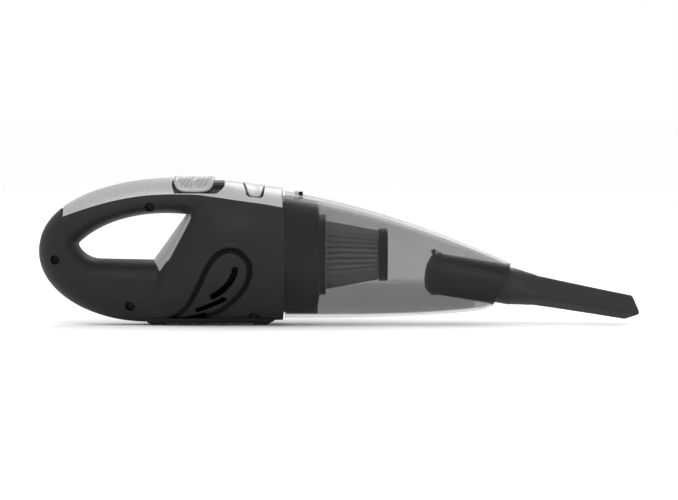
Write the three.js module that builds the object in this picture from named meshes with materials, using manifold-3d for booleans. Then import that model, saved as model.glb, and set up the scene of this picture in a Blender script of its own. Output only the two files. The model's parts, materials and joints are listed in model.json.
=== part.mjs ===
// Cordless handheld vacuum cleaner with its crevice tool pushed into the nozzle. Millimetres, +Z up.
// +X points from the handle to the nozzle, Y runs across, and z = 0 is the surface it stands on.
// The design is laid out from x = 0 at the joint between housing and dust cup, and the whole
// group is moved at the end so that the origin lies under the middle of its length.
import * as THREE from "three";
import { mergeVertices } from "three/addons/utils/BufferGeometryUtils.js";
import Module from "manifold-3d";

const wasm = await Module();
wasm.setup();

// ---------------------------------------------------------------- driving dimensions
const GAP = 0.3; // play between pieces that touch
const WALL = 2.5; // moulded walls of the housing and the cup
const PANEL = 1.8; // thickness of the silver top panel
const PANEL_SEAT = PANEL + GAP; // depth of the housing's step under the panel

const TAIL_X = -194.1; // rearmost point of the handle
const TOOL_TIP_X = 279.9; // foremost point of the crevice tool
const CREST = { x: -78, z: 116 }; // highest point of the back
const TAIL_Z = 57.4; // height of the rearmost point
const BELLY = { x: -108, z: 2.0 }; // where the round tail meets the straight underside
const FRONT_TOP_Z = 107.4; // housing height at the cup joint
const FRONT_RUN = 60; // the blanks run this far past the joint before they are trimmed
const HANDLE_HALF = 24; // half width of the handle
const MOTOR_HALF = 50; // half width of the motor housing
const MOTOR_BLEND = 46; // distance over which the handle widens into the motor housing
const HANDLE_ROUND = 23; // rounding of the handle's outer edge
const HOLE_CENTRE = { x: -112, z: 68 }; // a point inside the finger opening
const SLOPE_LOW = { x: -98, z: 40.5 }; // the slanted front edge of the finger opening
const SLOPE_HIGH = { x: -73.7, z: 86.6 };
const GRIP_LOW = { x: -103.8, z: 50.8 }; // the grip trim's crest line, on the middle plane
const GRIP_HIGH = { x: -77.7, z: 86.9 };
const GRIP_HALF = 21.5;
const FOOT = { back: -108.8, front: -10.9, half: 12, base: 0.8, top: 7 };
const PAD = { x: [-100, -19], y: 6.2, length: 12, half: 3, top: 2.2 }; // rubber pads in the foot

const AXIS_Z = 55; // motor, fan and filter axis
const CUP_TOP = 105.5; // cup height at the joint
const CUP_BOTTOM = 5.1;
const MOUTH = { x: 171.5, z: 31.3 }; // centre of the nozzle's mouth
const MOUTH_TOP_X = 178.8;
const MOUTH_BOTTOM = { x: 164.3, z: 14.6 };
const NOZZLE_TILT = THREE.MathUtils.degToRad(9.5); // the nozzle's axis points down by this much
const DUCT = { bore: 15.1, outer: 16.3, back: -54.5, flange: 17.3 };
const PLUG = { radius: 14.8, wall: 1.6, length: 27 };
const FLAP_HINGE_Z = 15.6; // above the nozzle's axis

const SCREWS = [
  { x: -180.1, z: 51.7 },
  { x: -105.8, z: 93.0 },
  { x: -121.4, z: 15.3 },
  { x: -24, z: 7.0 },
];
const SCREW = { boss: 3.2, seat: 9, head: 2.8, shank: 1.4, end: 7.5 };
const SWITCH = { x: -71.3, length: 31.8, travel: 7, outer: 24, inner: 20.9, z: 93.2, edge: 105.4 };
const WELL = { length: SWITCH.length + SWITCH.travel + 2, half: 24, edge: 104.2, outer: 20.6, inner: 17 };
const BUTTON = { back: -32.9, front: -15.5, endBack: -30.5, endFront: -19, half: 27 };
const CELL = { radius: 6.9, back: -154, front: -105, z: [25.7, 39.7], y: 7.1 };

// ---------------------------------------------------------------- solids and placing
// A closed geometry as a solid whose faces point outwards.
function solid(geometry) {
  const bare = new THREE.BufferGeometry();
  const loose = geometry.index ? geometry.toNonIndexed() : geometry;
  bare.setAttribute("position", loose.getAttribute("position"));
  const merged = mergeVertices(bare, 1e-4);
  const p = merged.attributes.position;
  const triangles = [];
  let volume = 0;
  const [a, b, c] = [new THREE.Vector3(), new THREE.Vector3(), new THREE.Vector3()];
  for (let i = 0; i < merged.index.count; i += 3) {
    const [u, v, w] = [0, 1, 2].map((k) => merged.index.getX(i + k));
    if (u === v || v === w || w === u) continue;
    triangles.push(u, v, w);
    volume += a.fromBufferAttribute(p, u).dot(
      b.fromBufferAttribute(p, v).cross(c.fromBufferAttribute(p, w)));
  }
  if (volume < 0) triangles.reverse();
  return new wasm.Manifold(new wasm.Mesh({
    numProp: 3, vertProperties: p.array, triVerts: new Uint32Array(triangles),
  }));
}

const AXES = {
  x: [new THREE.Vector3(0, 1, 0), new THREE.Vector3(0, 0, 1), new THREE.Vector3(1, 0, 0)],
  y: [new THREE.Vector3(1, 0, 0), new THREE.Vector3(0, 0, 1), new THREE.Vector3(0, 1, 0)],
  z: [new THREE.Vector3(1, 0, 0), new THREE.Vector3(0, 1, 0), new THREE.Vector3(0, 0, 1)],
};

// A flat shape drawn in the two axes across `axis`, carried along it from `from` to `to`.
function prism(shape, axis, from, to, steps = 4) {
  const geometry = new THREE.ExtrudeGeometry(shape, {
    depth: to - from, bevelEnabled: false, curveSegments: steps,
  });
  const [across, up, along] = AXES[axis];
  geometry.translate(0, 0, from);
  geometry.applyMatrix4(new THREE.Matrix4().makeBasis(across, up, along));
  return solid(geometry);
}

function block([x0, x1], [y0, y1], [z0, z1]) {
  const geometry = new THREE.BoxGeometry(x1 - x0, y1 - y0, z1 - z0);
  geometry.translate((x0 + x1) / 2, (y0 + y1) / 2, (z0 + z1) / 2);
  return solid(geometry);
}

// A round bar along `axis`, through the point (p, q) of the two axes across it.
function bar(axis, radius, from, to, p = 0, q = 0, sides = 20) {
  const circle = new THREE.Shape(ring(sides, radius, radius, p, q));
  return prism(circle, axis, from, to);
}

function ring(sides, a, b, p = 0, q = 0) {
  return Array.from({ length: sides }, (_, i) => {
    const t = (2 * Math.PI * i) / sides;
    return new THREE.Vector2(p + a * Math.cos(t), q + b * Math.sin(t));
  });
}

// A profile of [x, radius] corners turned about an axis along X at height z.
function turned(profile, z = AXIS_Z, sides = 24) {
  const points = [...profile, profile[0]].map(([x, r]) => new THREE.Vector2(r, x));
  const geometry = new THREE.LatheGeometry(points, sides);
  geometry.rotateZ(-Math.PI / 2).translate(0, 0, z);
  return solid(geometry);
}

// Rings of points joined one to the next, the first and last closed with a fan.
function loft(rings) {
  const sides = rings[0].length;
  const position = [];
  const push = (...corners) => corners.forEach((c) => position.push(...c));
  for (let r = 0; r + 1 < rings.length; r += 1)
    for (let i = 0; i < sides; i += 1) {
      const j = (i + 1) % sides;
      push(rings[r][i], rings[r][j], rings[r + 1][j]);
      push(rings[r][i], rings[r + 1][j], rings[r + 1][i]);
    }
  const middle = (points) => [0, 1, 2].map((k) => points.reduce((s, p) => s + p[k], 0) / sides);
  const [first, last] = [rings[0], rings[rings.length - 1]];
  for (let i = 0; i < sides; i += 1) {
    const j = (i + 1) % sides;
    push(middle(first), first[j], first[i]);
    push(middle(last), last[i], last[j]);
  }
  const geometry = new THREE.BufferGeometry();
  geometry.setAttribute("position", new THREE.Float32BufferAttribute(position, 3));
  return geometry;
}

const vacuum = new THREE.Group();
const finish = (color, roughness, metalness = 0) => ({ color, roughness, metalness });
const FINISHES = {
  shell: finish(0x333333, 0.45),
  silver: finish(0xcccccc, 0.4, 0.3),
  black: finish(0x1c1c1c, 0.5),
  smoke: finish(0x7a7a7a, 0.1),
  rubber: finish(0x262626, 0.8),
  paper: finish(0x5a5a5a, 0.9),
  steel: finish(0xb8b8b8, 0.3, 1),
  lens: finish(0xe8e8e8, 0.2),
  cell: finish(0x4a6a8a, 0.5),
  board: finish(0x2f5a3a, 0.6),
  tool: finish(0x3a3a3a, 0.5),
};

function add(name, made, look, parent = vacuum) {
  const { vertProperties, triVerts } = made.getMesh();
  const geometry = new THREE.BufferGeometry();
  geometry.setAttribute("position", new THREE.BufferAttribute(vertProperties, 3));
  geometry.setIndex(new THREE.BufferAttribute(triVerts, 1));
  geometry.computeVertexNormals();
  const mesh = new THREE.Mesh(geometry, new THREE.MeshStandardMaterial(FINISHES[look]));
  mesh.name = name;
  parent.add(mesh);
}

// ---------------------------------------------------------------- housing shape
const clamp = THREE.MathUtils.clamp;
const lerp = THREE.MathUtils.lerp;
const v2 = (x, z) => new THREE.Vector2(x, z);

// Housing outline seen from the side, anticlockwise from the lower front corner.
function housingOutline() {
  const points = [];
  for (let i = 0; i < 3; i += 1) points.push(v2(FRONT_RUN, lerp(4.2, 100.2, i / 3)));
  const back = new THREE.CubicBezierCurve(
    v2(0, FRONT_TOP_Z), v2(-30, 111), v2(-55, CREST.z), v2(CREST.x, CREST.z));
  points.push(v2(FRONT_RUN, 100.2), v2(FRONT_RUN / 2, 103.8), ...back.getPoints(7));
  const upper = { a: CREST.x - TAIL_X, b: CREST.z - TAIL_Z, n: 2.2 };
  for (let i = 1; i <= 10; i += 1) {
    const t = (Math.PI / 2) * (i / 10);
    points.push(v2(CREST.x - upper.a * Math.sin(t) ** (2 / upper.n),
      TAIL_Z + upper.b * Math.max(Math.cos(t), 0) ** (2 / upper.n)));
  }
  const lower = { a: BELLY.x - TAIL_X, b: TAIL_Z - BELLY.z };
  for (let i = 1; i <= 8; i += 1) {
    const t = (Math.PI / 2) * (i / 8);
    points.push(v2(BELLY.x - lower.a * Math.cos(t), TAIL_Z - lower.b * Math.sin(t)));
  }
  for (let i = 1; i < 6; i += 1)
    points.push(v2(lerp(BELLY.x, FRONT_RUN, i / 6), lerp(BELLY.z, 4.2, i / 6)));
  return points;
}

// Finger opening seen from the side, anticlockwise, before the grip trim is fitted.
function openingOutline() {
  const path = new THREE.Path();
  path.moveTo(-146, 52.1);
  path.lineTo(-96, 51.05);
  path.quadraticCurveTo(-92.5, 51, -90.6, 54.5);
  path.lineTo(-75.6, 83);
  path.quadraticCurveTo(-73.6, 86.9, -79.5, 87.1);
  path.bezierCurveTo(-108, 90, -142, 84, -162.3, 64.3);
  path.bezierCurveTo(-163.5, 61.5, -156, 52.6, -146, 52.1);
  return path.getPoints(12).slice(0, -1);
}

// Moves a closed outline to its left by `distance`, which is inwards on an anticlockwise one.
function moved(points, distance) {
  return points.map((p, i) => {
    const before = points[(i + points.length - 1) % points.length];
    const after = points[(i + 1) % points.length];
    const along = after.clone().sub(before).normalize();
    return v2(p.x - along.y * distance, p.y + along.x * distance);
  });
}

function distanceTo(points, p) {
  let nearest = Infinity;
  points.forEach((a, i) => {
    const side = points[(i + 1) % points.length].clone().sub(a);
    const t = clamp(p.clone().sub(a).dot(side) / side.lengthSq(), 0, 1);
    nearest = Math.min(nearest, p.distanceTo(a.clone().addScaledVector(side, t)));
  });
  return nearest;
}

// Where the ray from the opening's middle towards `to` leaves the closed outline.
function crossing(points, to) {
  const from = v2(HOLE_CENTRE.x, HOLE_CENTRE.z);
  const ray = to.clone().sub(from);
  let best = null;
  points.forEach((a, i) => {
    const side = points[(i + 1) % points.length].clone().sub(a);
    const cross = ray.cross(side);
    const offset = a.clone().sub(from);
    const t = offset.cross(side) / cross;
    const s = offset.cross(ray) / cross;
    if (t > 0 && s >= -1e-9 && s <= 1 + 1e-9 && (!best || t > best)) best = t;
  });
  return from.addScaledVector(ray, best);
}

// Signed distance ahead of the slanted line where the handle becomes the motor housing.
function ahead(p) {
  const up = v2(SLOPE_HIGH.x - SLOPE_LOW.x, SLOPE_HIGH.z - SLOPE_LOW.z).normalize();
  return (p.x - SLOPE_LOW.x) * up.y - (p.y - SLOPE_LOW.z) * up.x;
}

const rounding = (t) => (t >= 1 ? 1 : Math.sqrt(1 - (1 - Math.max(t, 0)) ** 2));
const OUTLINE = housingOutline();
const OPENING = openingOutline();

// Half thickness of the housing at a point of its side view, for walls moved in by `inset`:
// the full half width, rounded off as a quarter ellipse towards the outline and the opening.
function halfThickness(p, outer, opening, inset) {
  const widening = 1 - (1 - clamp(ahead(p) / MOTOR_BLEND, 0, 1)) ** 2;
  const full = lerp(HANDLE_HALF, MOTOR_HALF, widening) - inset;
  const outerRound = lerp(HANDLE_ROUND, MOTOR_HALF, widening) - inset;
  const lift = clamp((p.y - HOLE_CENTRE.z) / 20, -1, 1);
  const beside = 14 - 4 * lift;
  const openingRound = Math.max(lerp(beside, 3, clamp(ahead(p) + 1, 0, 1)) - inset, 0.6);
  return full * rounding(distanceTo(outer, p) / outerRound)
    * rounding(distanceTo(opening, p) / openingRound);
}

// One side of the housing as a solid from y = `flat` out to its skin, moved in by `inset`.
function skinGeometry(inset, side, flat = -0.5, rows = 6) {
  const outer = moved(OUTLINE, inset);
  const opening = moved(OPENING, -inset);
  const grid = outer.map((o) => {
    const h = crossing(opening, o);
    return Array.from({ length: rows + 1 }, (_, k) => {
      const p = h.clone().lerp(o, (1 - Math.cos((Math.PI * k) / rows)) / 2);
      const onEdge = k === 0 || k === rows;
      return [p.x, onEdge ? 0 : side * halfThickness(p, outer, opening, inset), p.y];
    });
  });
  const low = ([x, , z]) => [x, flat * side, z];
  const position = [];
  const quad = (a, b, c, d) => [a, b, c, a, c, d].forEach((corner) => position.push(...corner));
  grid.forEach((line, i) => {
    const next = grid[(i + 1) % grid.length];
    for (let k = 0; k < rows; k += 1) quad(line[k], next[k], next[k + 1], line[k + 1]);
    quad(line[rows], next[rows], low(next[rows]), low(line[rows]));
    quad(low(line[rows]), low(next[rows]), low(next[0]), low(line[0]));
    quad(low(line[0]), low(next[0]), next[0], line[0]);
  });
  const geometry = new THREE.BufferGeometry();
  geometry.setAttribute("position", new THREE.Float32BufferAttribute(position, 3));
  return geometry;
}

const blank = (inset, side, flat) => solid(skinGeometry(inset, side, flat));
const bothSides = (inset) => blank(inset, 1).add(blank(inset, -1));

// Everything ahead of the slightly bowed joint face, moved forward by `shift`.
function aheadOfJoint(shift) {
  const shape = new THREE.Shape();
  shape.moveTo(shift - 3.3, -10);
  for (let i = 0; i <= 8; i += 1) {
    const t = i / 4 - 1;
    shape.lineTo(shift + 1.3 - 2.8 * t * t, AXIS_Z + 52 * t);
  }
  shape.lineTo(shift - 3.3, 130);
  shape.lineTo(400, 130);
  shape.lineTo(400, -10);
  return prism(shape, "y", -80, 80);
}

// ---------------------------------------------------------------- top panel, button and switch
function panelZone() {
  const shape = new THREE.Shape();
  shape.moveTo(-173.5, 85.9);
  shape.splineThru([
    v2(-149.5, 94), v2(-128.2, 99.3), v2(-103.8, 102.6), v2(-70, 102.9), v2(-32.9, 98.5), v2(-2, 93.6)]);
  shape.lineTo(-1.2, 93.4);
  shape.lineTo(-1.2, 130);
  shape.lineTo(-177, 130);
  shape.lineTo(-177, 98);
  return prism(shape, "y", -70, 70, 4);
}

// A flat oblong with round ends, seen from above.
function oblong(x, length, half, corner) {
  const [x0, x1] = [x - length / 2, x + length / 2];
  const shape = new THREE.Shape();
  shape.moveTo(x0 + corner, -half);
  shape.lineTo(x1 - corner, -half);
  shape.quadraticCurveTo(x1, -half, x1, -half + corner);
  shape.lineTo(x1, half - corner);
  shape.quadraticCurveTo(x1, half, x1 - corner, half);
  shape.lineTo(x0 + corner, half);
  shape.quadraticCurveTo(x0, half, x0, half - corner);
  shape.lineTo(x0, -half + corner);
  shape.quadraticCurveTo(x0, -half, x0 + corner, -half);
  return shape;
}

// The release button's outline from above: a band across the back, narrower at its ends.
function buttonPlan(grow) {
  const { back, front, endBack, endFront, half } = BUTTON;
  const shape = new THREE.Shape();
  shape.moveTo(back - grow, 0);
  shape.lineTo(endBack - grow, -half + 3);
  shape.quadraticCurveTo(endBack - grow, -half - grow, endBack + 3, -half - grow);
  shape.lineTo(endFront - 3, -half - grow);
  shape.quadraticCurveTo(endFront + grow, -half - grow, endFront + grow, -half + 3);
  shape.lineTo(front + grow, 0);
  shape.lineTo(endFront + grow, half - 3);
  shape.quadraticCurveTo(endFront + grow, half + grow, endFront - 3, half + grow);
  shape.lineTo(endBack + 3, half + grow);
  shape.quadraticCurveTo(endBack - grow, half + grow, endBack - grow, half - 3);
  return shape;
}

// A saddle that can slide along X: part of a tube over the back, cut off level at z = edge.
function saddle(inner, outer, edge) {
  return bar("x", outer, -120, 0, 0, SWITCH.z, 32).subtract(bar("x", inner, -130, 10, 0, SWITCH.z, 32))
    .intersect(block([-120, 0], [-30, 30], [edge, 130]));
}

const wellX = SWITCH.x + SWITCH.travel / 2;
const well = (shrink) => prism(
  oblong(wellX, WELL.length - 2 * shrink, WELL.half - shrink, 12), "z", WELL.edge + shrink, 130, 4);
const LENS = { x: -8.2, length: 11, half: 4.5 };

const zone = panelZone();
const topHoles = well(0).add(prism(buttonPlan(0.4), "z", 90, 130));

const panelBody = bothSides(0).subtract(bothSides(PANEL)).intersect(zone)
  .subtract(topHoles)
  .subtract(prism(oblong(LENS.x, LENS.length + 2 * GAP, LENS.half + GAP, 2), "z", 90, 130));
add("top_panel", panelBody, "silver");
add("indicator_lens", bothSides(0.1).subtract(bothSides(PANEL)).intersect(
  prism(oblong(LENS.x, LENS.length, LENS.half, 2), "z", 90, 130)), "lens");

const leverSlot = block([-75, -55], [-3.2, 3.2], [90, 130]);
add("switch_track", saddle(WELL.inner, WELL.outer, WELL.edge + GAP).intersect(well(GAP))
  .subtract(leverSlot), "black");
const thumb = saddle(SWITCH.inner, SWITCH.outer, SWITCH.edge)
  .intersect(prism(oblong(SWITCH.x, SWITCH.length, 23, 11), "z", 90, 130, 4));
const grooves = [-10, -6, -2, 2, 6, 10].map((dx) =>
  saddle(SWITCH.outer - 0.7, SWITCH.outer + 5, SWITCH.edge + 2.5).intersect(
    block([SWITCH.x + dx - 0.7, SWITCH.x + dx + 0.7], [-30, 30], [90, 130])));
add("power_switch", grooves.reduce((made, groove) => made.subtract(groove), thumb)
  .add(block([-72.5, -68.5], [-2.2, 2.2], [104.4, 114.5])), "silver");
add("switch_lever", block([-73.5, -67.5], [-2.6, 2.6], [98.4, 104.1]), "black");
add("switch_unit", block([-80, -54], [-8, 8], [90.6, 99.8])
  .subtract(block([-75, -58], [-3, 3], [96.4, 101])), "black");

const stemX = (BUTTON.back + BUTTON.front) / 2;
add("release_button", bothSides(-0.6).subtract(bothSides(2.6))
  .intersect(prism(buttonPlan(0), "z", 92, 130))
  .add(bar("z", 5.6, 104.3, 109, stemX, 0, 16))
  .add(bar("z", 2.6, 94, 105, stemX, 0, 12)), "silver");
add("latch_hook", block([-18.2, 14.3], [-4.5, 4.5], [96, 99])
  .add(block([-18.2, -16.2], [-4.5, 4.5], [98, 106]))
  .add(block([10.9, 14.3], [-4.5, 4.5], [98, 104.7])), "black");
add("latch_plate", block([7.8, 10.5], [-4.5, 4.5], [99.3, 105.3]), "steel");

// Coil spring under the button, from the housing's shelf to the button's collar.
class Coil extends THREE.Curve {
  constructor(x, radius, low, high, turns) {
    super();
    Object.assign(this, { x, radius, low, high, turns });
  }
  getPoint(t, target = new THREE.Vector3()) {
    const a = 2 * Math.PI * this.turns * t;
    return target.set(this.x + this.radius * Math.cos(a), this.radius * Math.sin(a),
      lerp(this.low, this.high, t));
  }
}
const wire = new THREE.Shape(ring(5, 0.6, 0.6));
add("latch_spring", solid(new THREE.ExtrudeGeometry(wire, {
  steps: 36, bevelEnabled: false, extrudePath: new Coil(stemX, 4.2, 89.2, 103.3, 5),
})), "steel");

// ---------------------------------------------------------------- housing halves
// A slot of even width along a bent line seen from the side.
function slot(from, bend, to, width) {
  const line = new THREE.QuadraticBezierCurve(v2(...from), v2(...bend), v2(...to));
  const [left, right] = [[], []];
  for (let i = 0; i <= 6; i += 1) {
    const p = line.getPoint(i / 6);
    const t = line.getTangent(i / 6);
    const half = (width / 2) * (i === 0 || i === 6 ? 0.6 : 1);
    left.push(v2(p.x - t.y * half, p.y + t.x * half));
    right.unshift(v2(p.x + t.y * half, p.y - t.x * half));
  }
  return new THREE.Shape([...left, ...right]);
}
const VENTS = [
  slot([-37.9, 45.2], [-41, 32], [-55.8, 23.9], 4),
  slot([-46.9, 21.9], [-56, 17], [-68, 12.9], 2.8),
  slot([-62.8, 9.2], [-71, 6.5], [-82.6, 4.4], 2.2),
];

function foot() {
  const shape = new THREE.Shape([
    v2(FOOT.back - 3.9, 2.3), v2(FOOT.back, FOOT.base), v2(FOOT.front, FOOT.base),
    v2(FOOT.front + 6, FOOT.top), v2(FOOT.back - 3.9, FOOT.top)]);
  const section = new THREE.Shape([
    v2(-FOOT.half, FOOT.base), v2(FOOT.half, FOOT.base), v2(FOOT.half + 10, FOOT.top), v2(-FOOT.half - 10, FOOT.top)]);
  return prism(shape, "y", -30, 30).intersect(prism(section, "x", -120, 0));
}

// A rubber pad, or with `grow` the recess it is pressed into: an oblong with cut corners.
function pad(x, side, grow = 0) {
  const [a, b, cut] = [PAD.length / 2 + grow, PAD.half + grow, 1.2];
  const corners = [[a - cut, -b], [a, cut - b], [a, b - cut], [a - cut, b]];
  const outline = [...corners, ...corners.map(([u, v]) => [-u, -v])];
  const shape = new THREE.Shape(outline.map(([u, v]) => v2(x + u, side * PAD.y + v)));
  return prism(shape, "z", -grow, PAD.top + grow);
}

function housingHalf(side) {
  const span = (from, to) => (side > 0 ? [from, to] : [-to, -from]);
  const skin = blank(0, side);
  const cavity = blank(WALL, side).subtract(zone).add(blank(PANEL_SEAT + WALL, side));
  const seat = blank(-2, side, -1).intersect(zone).subtract(blank(PANEL_SEAT, side, -1));
  let half = skin.add(foot()).subtract(cavity);
  for (const { x, z } of SCREWS) half = half.add(
    bar("y", SCREW.boss, ...span(0, 40), x, z, 14).intersect(skin));
  half = half.add(block([-37, -34.6], span(0, 9), [86, 108]).intersect(skin));
  half = half.add(block([-37, -14], span(0, 9), [86, 88.2]));
  const cradle = block([-69.5, -65], span(0, 60), [24, 90]).intersect(skin)
    .subtract(bar("x", 20.8, -80, -50, 0, AXIS_Z, 24));
  half = half.add(cradle);
  half = half.subtract(seat).subtract(topHoles).subtract(aheadOfJoint(0));
  for (const { x, z } of SCREWS) {
    half = half.subtract(bar("y", SCREW.shank + GAP, ...span(0, 9), x, z, 10));
    if (side < 0) half = half.subtract(bar("y", SCREW.head + GAP, -60, -SCREW.seat, x, z, 14));
  }
  for (const x of PAD.x) half = half.subtract(pad(x, side, GAP));
  for (const vent of VENTS) half = half.subtract(prism(vent, "y", ...span(8, 70)));
  half = half.subtract(bar("x", 3.2, -200, -185, 0, 66, 14));
  return half.subtract(block([-250, 100], side > 0 ? [-90, GAP / 2] : [-GAP / 2, 90], [-5, 130]));
}
add("housing_left", housingHalf(1), "shell");
add("housing_right", housingHalf(-1), "shell");

SCREWS.forEach(({ x, z }, i) => add(`housing_screw_${i + 1}`,
  bar("y", SCREW.shank, -SCREW.seat - 0.5, SCREW.end, x, z, 8)
    .add(bar("y", SCREW.head, -SCREW.seat - 2.4, -SCREW.seat - GAP, x, z, 12)), "steel"));

PAD.x.forEach((x, row) => [-1, 1].forEach((side, column) =>
  add(`foot_pad_${2 * row + column + 1}`, pad(x, side), "rubber")));

// Silver insert on the slanted front of the finger opening: it bulges towards the fingers.
function gripTrim() {
  const rows = 10;
  const columns = 10;
  const front = [];
  for (let r = 0; r <= rows; r += 1) {
    const z = lerp(36, 90, r / rows);
    const along = (low, high) => lerp(low.x, high.x, (z - low.z) / (high.z - low.z));
    const edge = along(SLOPE_LOW, SLOPE_HIGH);
    const crest = along(GRIP_LOW, GRIP_HIGH);
    const line = [];
    for (let c = 0; c <= columns; c += 1) {
      const t = (2 * c) / columns - 1;
      line.push([lerp(crest, edge, t * t), GRIP_HALF * t, z]);
    }
    front.push([...line, [edge + 4, GRIP_HALF, z], [edge + 4, -GRIP_HALF, z]]);
  }
  return solid(loft(front));
}
const nearSkin = (side) => solid(skinGeometry(0, side).translate(-GAP, 0, GAP));
add("grip_trim", gripTrim().subtract(bothSides(-GAP)).subtract(nearSkin(1)).subtract(nearSkin(-1)),
  "silver");

// ---------------------------------------------------------------- motor, fan and electrics
const sectionShape = (a, b, z = 55.5) => new THREE.Shape(ring(28, a, b, 0, z));

function coverPlate(a, b, from, to, inlet, spokes) {
  const plate = prism(sectionShape(a, b), "x", from, to).subtract(
    bar("x", inlet, from - 1, to + 1, 0, AXIS_Z, 32));
  const hub = bar("x", 9, from, to, 0, AXIS_Z, 20);
  const arms = Array.from({ length: spokes }, (_, i) => {
    const arm = new THREE.BoxGeometry(to - from, 2 * inlet + 2, 2.4);
    arm.rotateX((Math.PI * i) / spokes).translate((from + to) / 2, 0, AXIS_Z);
    return solid(arm);
  });
  return arms.reduce((made, arm) => made.add(arm), plate.add(hub));
}
const latchWay = block([-9, 17], [-6.4, 6.4], [90.2, 130]);
const spigot = prism(sectionShape(44.5, 46.3), "x", -4.5, 4.6)
  .subtract(prism(sectionShape(42.6, 44.4), "x", -5, 6));
const collar = turned([[-4.5, 34], [-4.5, 36], [5, 36], [5, 34]]);
add("fan_cover", coverPlate(45.2, 46.8, -7, -4, 30, 4).add(spigot).add(collar)
  .subtract(latchWay), "black");

function motorMount() {
  const windows = [45, 135, 225, 315].map((angle) => {
    const a = THREE.MathUtils.degToRad(angle);
    return bar("x", 8, -40, -20, 32 * Math.cos(a), AXIS_Z + 32 * Math.sin(a), 14);
  });
  const plate = prism(sectionShape(45.2, 46.2, 56.5), "x", -31.7, -28.9)
    .subtract(block([-40, -20], [-9.5, 9.5], [85.6, 130]))
    .subtract(bar("x", 6, -40, -20, 0, AXIS_Z, 18));
  return windows.reduce((made, window) => made.subtract(window), plate);
}
add("motor_mount", motorMount(), "black");
add("motor_can", turned([[-73, 0], [-73, 17.8], [-32, 17.8], [-32, 5.5], [-35, 5.5], [-35, 0]])
  .subtract(bar("x", 1.9, -80, -20, 0, AXIS_Z, 12)), "steel");
add("motor_end_bell", turned([[-77, 6], [-77, 15.6], [-73.3, 17.4], [-73.3, 3], [-75, 3], [-75, 6]]),
  "black");
add("motor_damper", turned([[-69.8, 18.1], [-69.8, 20.4], [-64.7, 20.4], [-64.7, 18.1]]), "rubber");

const fan = new THREE.Group();
add("motor_shaft", bar("x", 1.55, -76, -11, 0, AXIS_Z, 12), "steel", fan);

const BLADES = 7;

// Radial fan wheel: a disc and a hub with blades that sweep backwards.
function impeller() {
  const disc = turned([[-24, 1.9], [-24, 30], [-22.4, 30], [-22.4, 7], [-12.5, 5], [-12.5, 1.9]]);
  const blades = Array.from({ length: BLADES }, (_, i) => {
    const start = (2 * Math.PI * i) / BLADES;
    const [lead, trail] = [[], []];
    for (let k = 0; k <= 3; k += 1) {
      const radius = lerp(6, 29.6, k / 3);
      const angle = start + 0.9 * (k / 3);
      const point = (a) => v2(radius * Math.cos(a), AXIS_Z + radius * Math.sin(a));
      lead.push(point(angle));
      trail.unshift(point(angle + 1.3 / radius));
    }
    return prism(new THREE.Shape([...lead, ...trail]), "x", -23, -13.5);
  });
  return blades.reduce((made, blade) => made.add(blade), disc);
}
add("fan_impeller", impeller(), "black", fan);
vacuum.add(fan);

CELL.z.forEach((z, row) => [-1, 1].forEach((side, column) => add(
  `battery_cell_${2 * row + column + 1}`,
  bar("x", CELL.radius, CELL.back, CELL.front, side * CELL.y, z, 20)
    .add(bar("x", 2.6, CELL.front - 1, CELL.front + 1.2, side * CELL.y, z, 10)), "cell")));
const packZ = (CELL.z[0] + CELL.z[1]) / 2;
const plateShape = new THREE.Shape(ring(24, 15, 15, 0, packZ));
add("battery_end_rear", prism(plateShape, "x", CELL.back - 2.4, CELL.back - GAP), "black");
add("battery_end_front", prism(plateShape, "x", CELL.front + 1.5, CELL.front + 3.4), "black");
add("circuit_board", block([-143, -96], [-11, 11], [97, 98.6])
  .add(block([-132, -120], [-5, 5], [98, 103])), "board");
add("charge_jack", turned([[-188.4, 1.4], [-188.4, 3.6], [-178, 3.6], [-178, 0], [-185, 0], [-185, 1.4]],
  66, 16), "black");

// ---------------------------------------------------------------- filter
const filter = new THREE.Group();
const holder = turned([
  [0.2, 36.4], [0.2, 41.5], [24, 39.6], [27, 38.4], [27, 31.6], [32.4, 31.6], [32.4, 14.5],
  [29.5, 14.5], [29.5, 30], [24, 36.4]], AXIS_Z, 28);
add("filter_frame", holder.subtract(latchWay), "black", filter);
add("filter_seal", turned([[-3.6, 36.4], [-3.6, 40], [-0.2, 41], [-0.2, 36.4]])
  .subtract(latchWay), "rubber", filter);

function pleats() {
  const folds = 22;
  const star = (x, outer, inner) => Array.from({ length: 2 * folds }, (_, i) => {
    const r = i % 2 ? inner : outer;
    const a = (Math.PI * i) / folds;
    return [x, r * Math.cos(a), AXIS_Z + r * Math.sin(a)];
  });
  return solid(loft([star(32.7, 27, 22), star(73.7, 19.4, 15.4)]))
    .subtract(turned([[30, 0], [30, 14.6], [80, 12.6], [80, 0]]));
}
add("filter_pleats", pleats(), "paper", filter);
add("filter_core", turned([[32.7, 12.6], [32.7, 14.1], [73.7, 12.4], [73.7, 10.9]], AXIS_Z, 24),
  "black", filter);
add("filter_end_cap", turned([[74, 0], [74, 20.8], [80.2, 20.8], [81.2, 19.8], [81.2, 16],
  [79.8, 15], [79.8, 0]]), "black", filter);
vacuum.add(filter);

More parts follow.
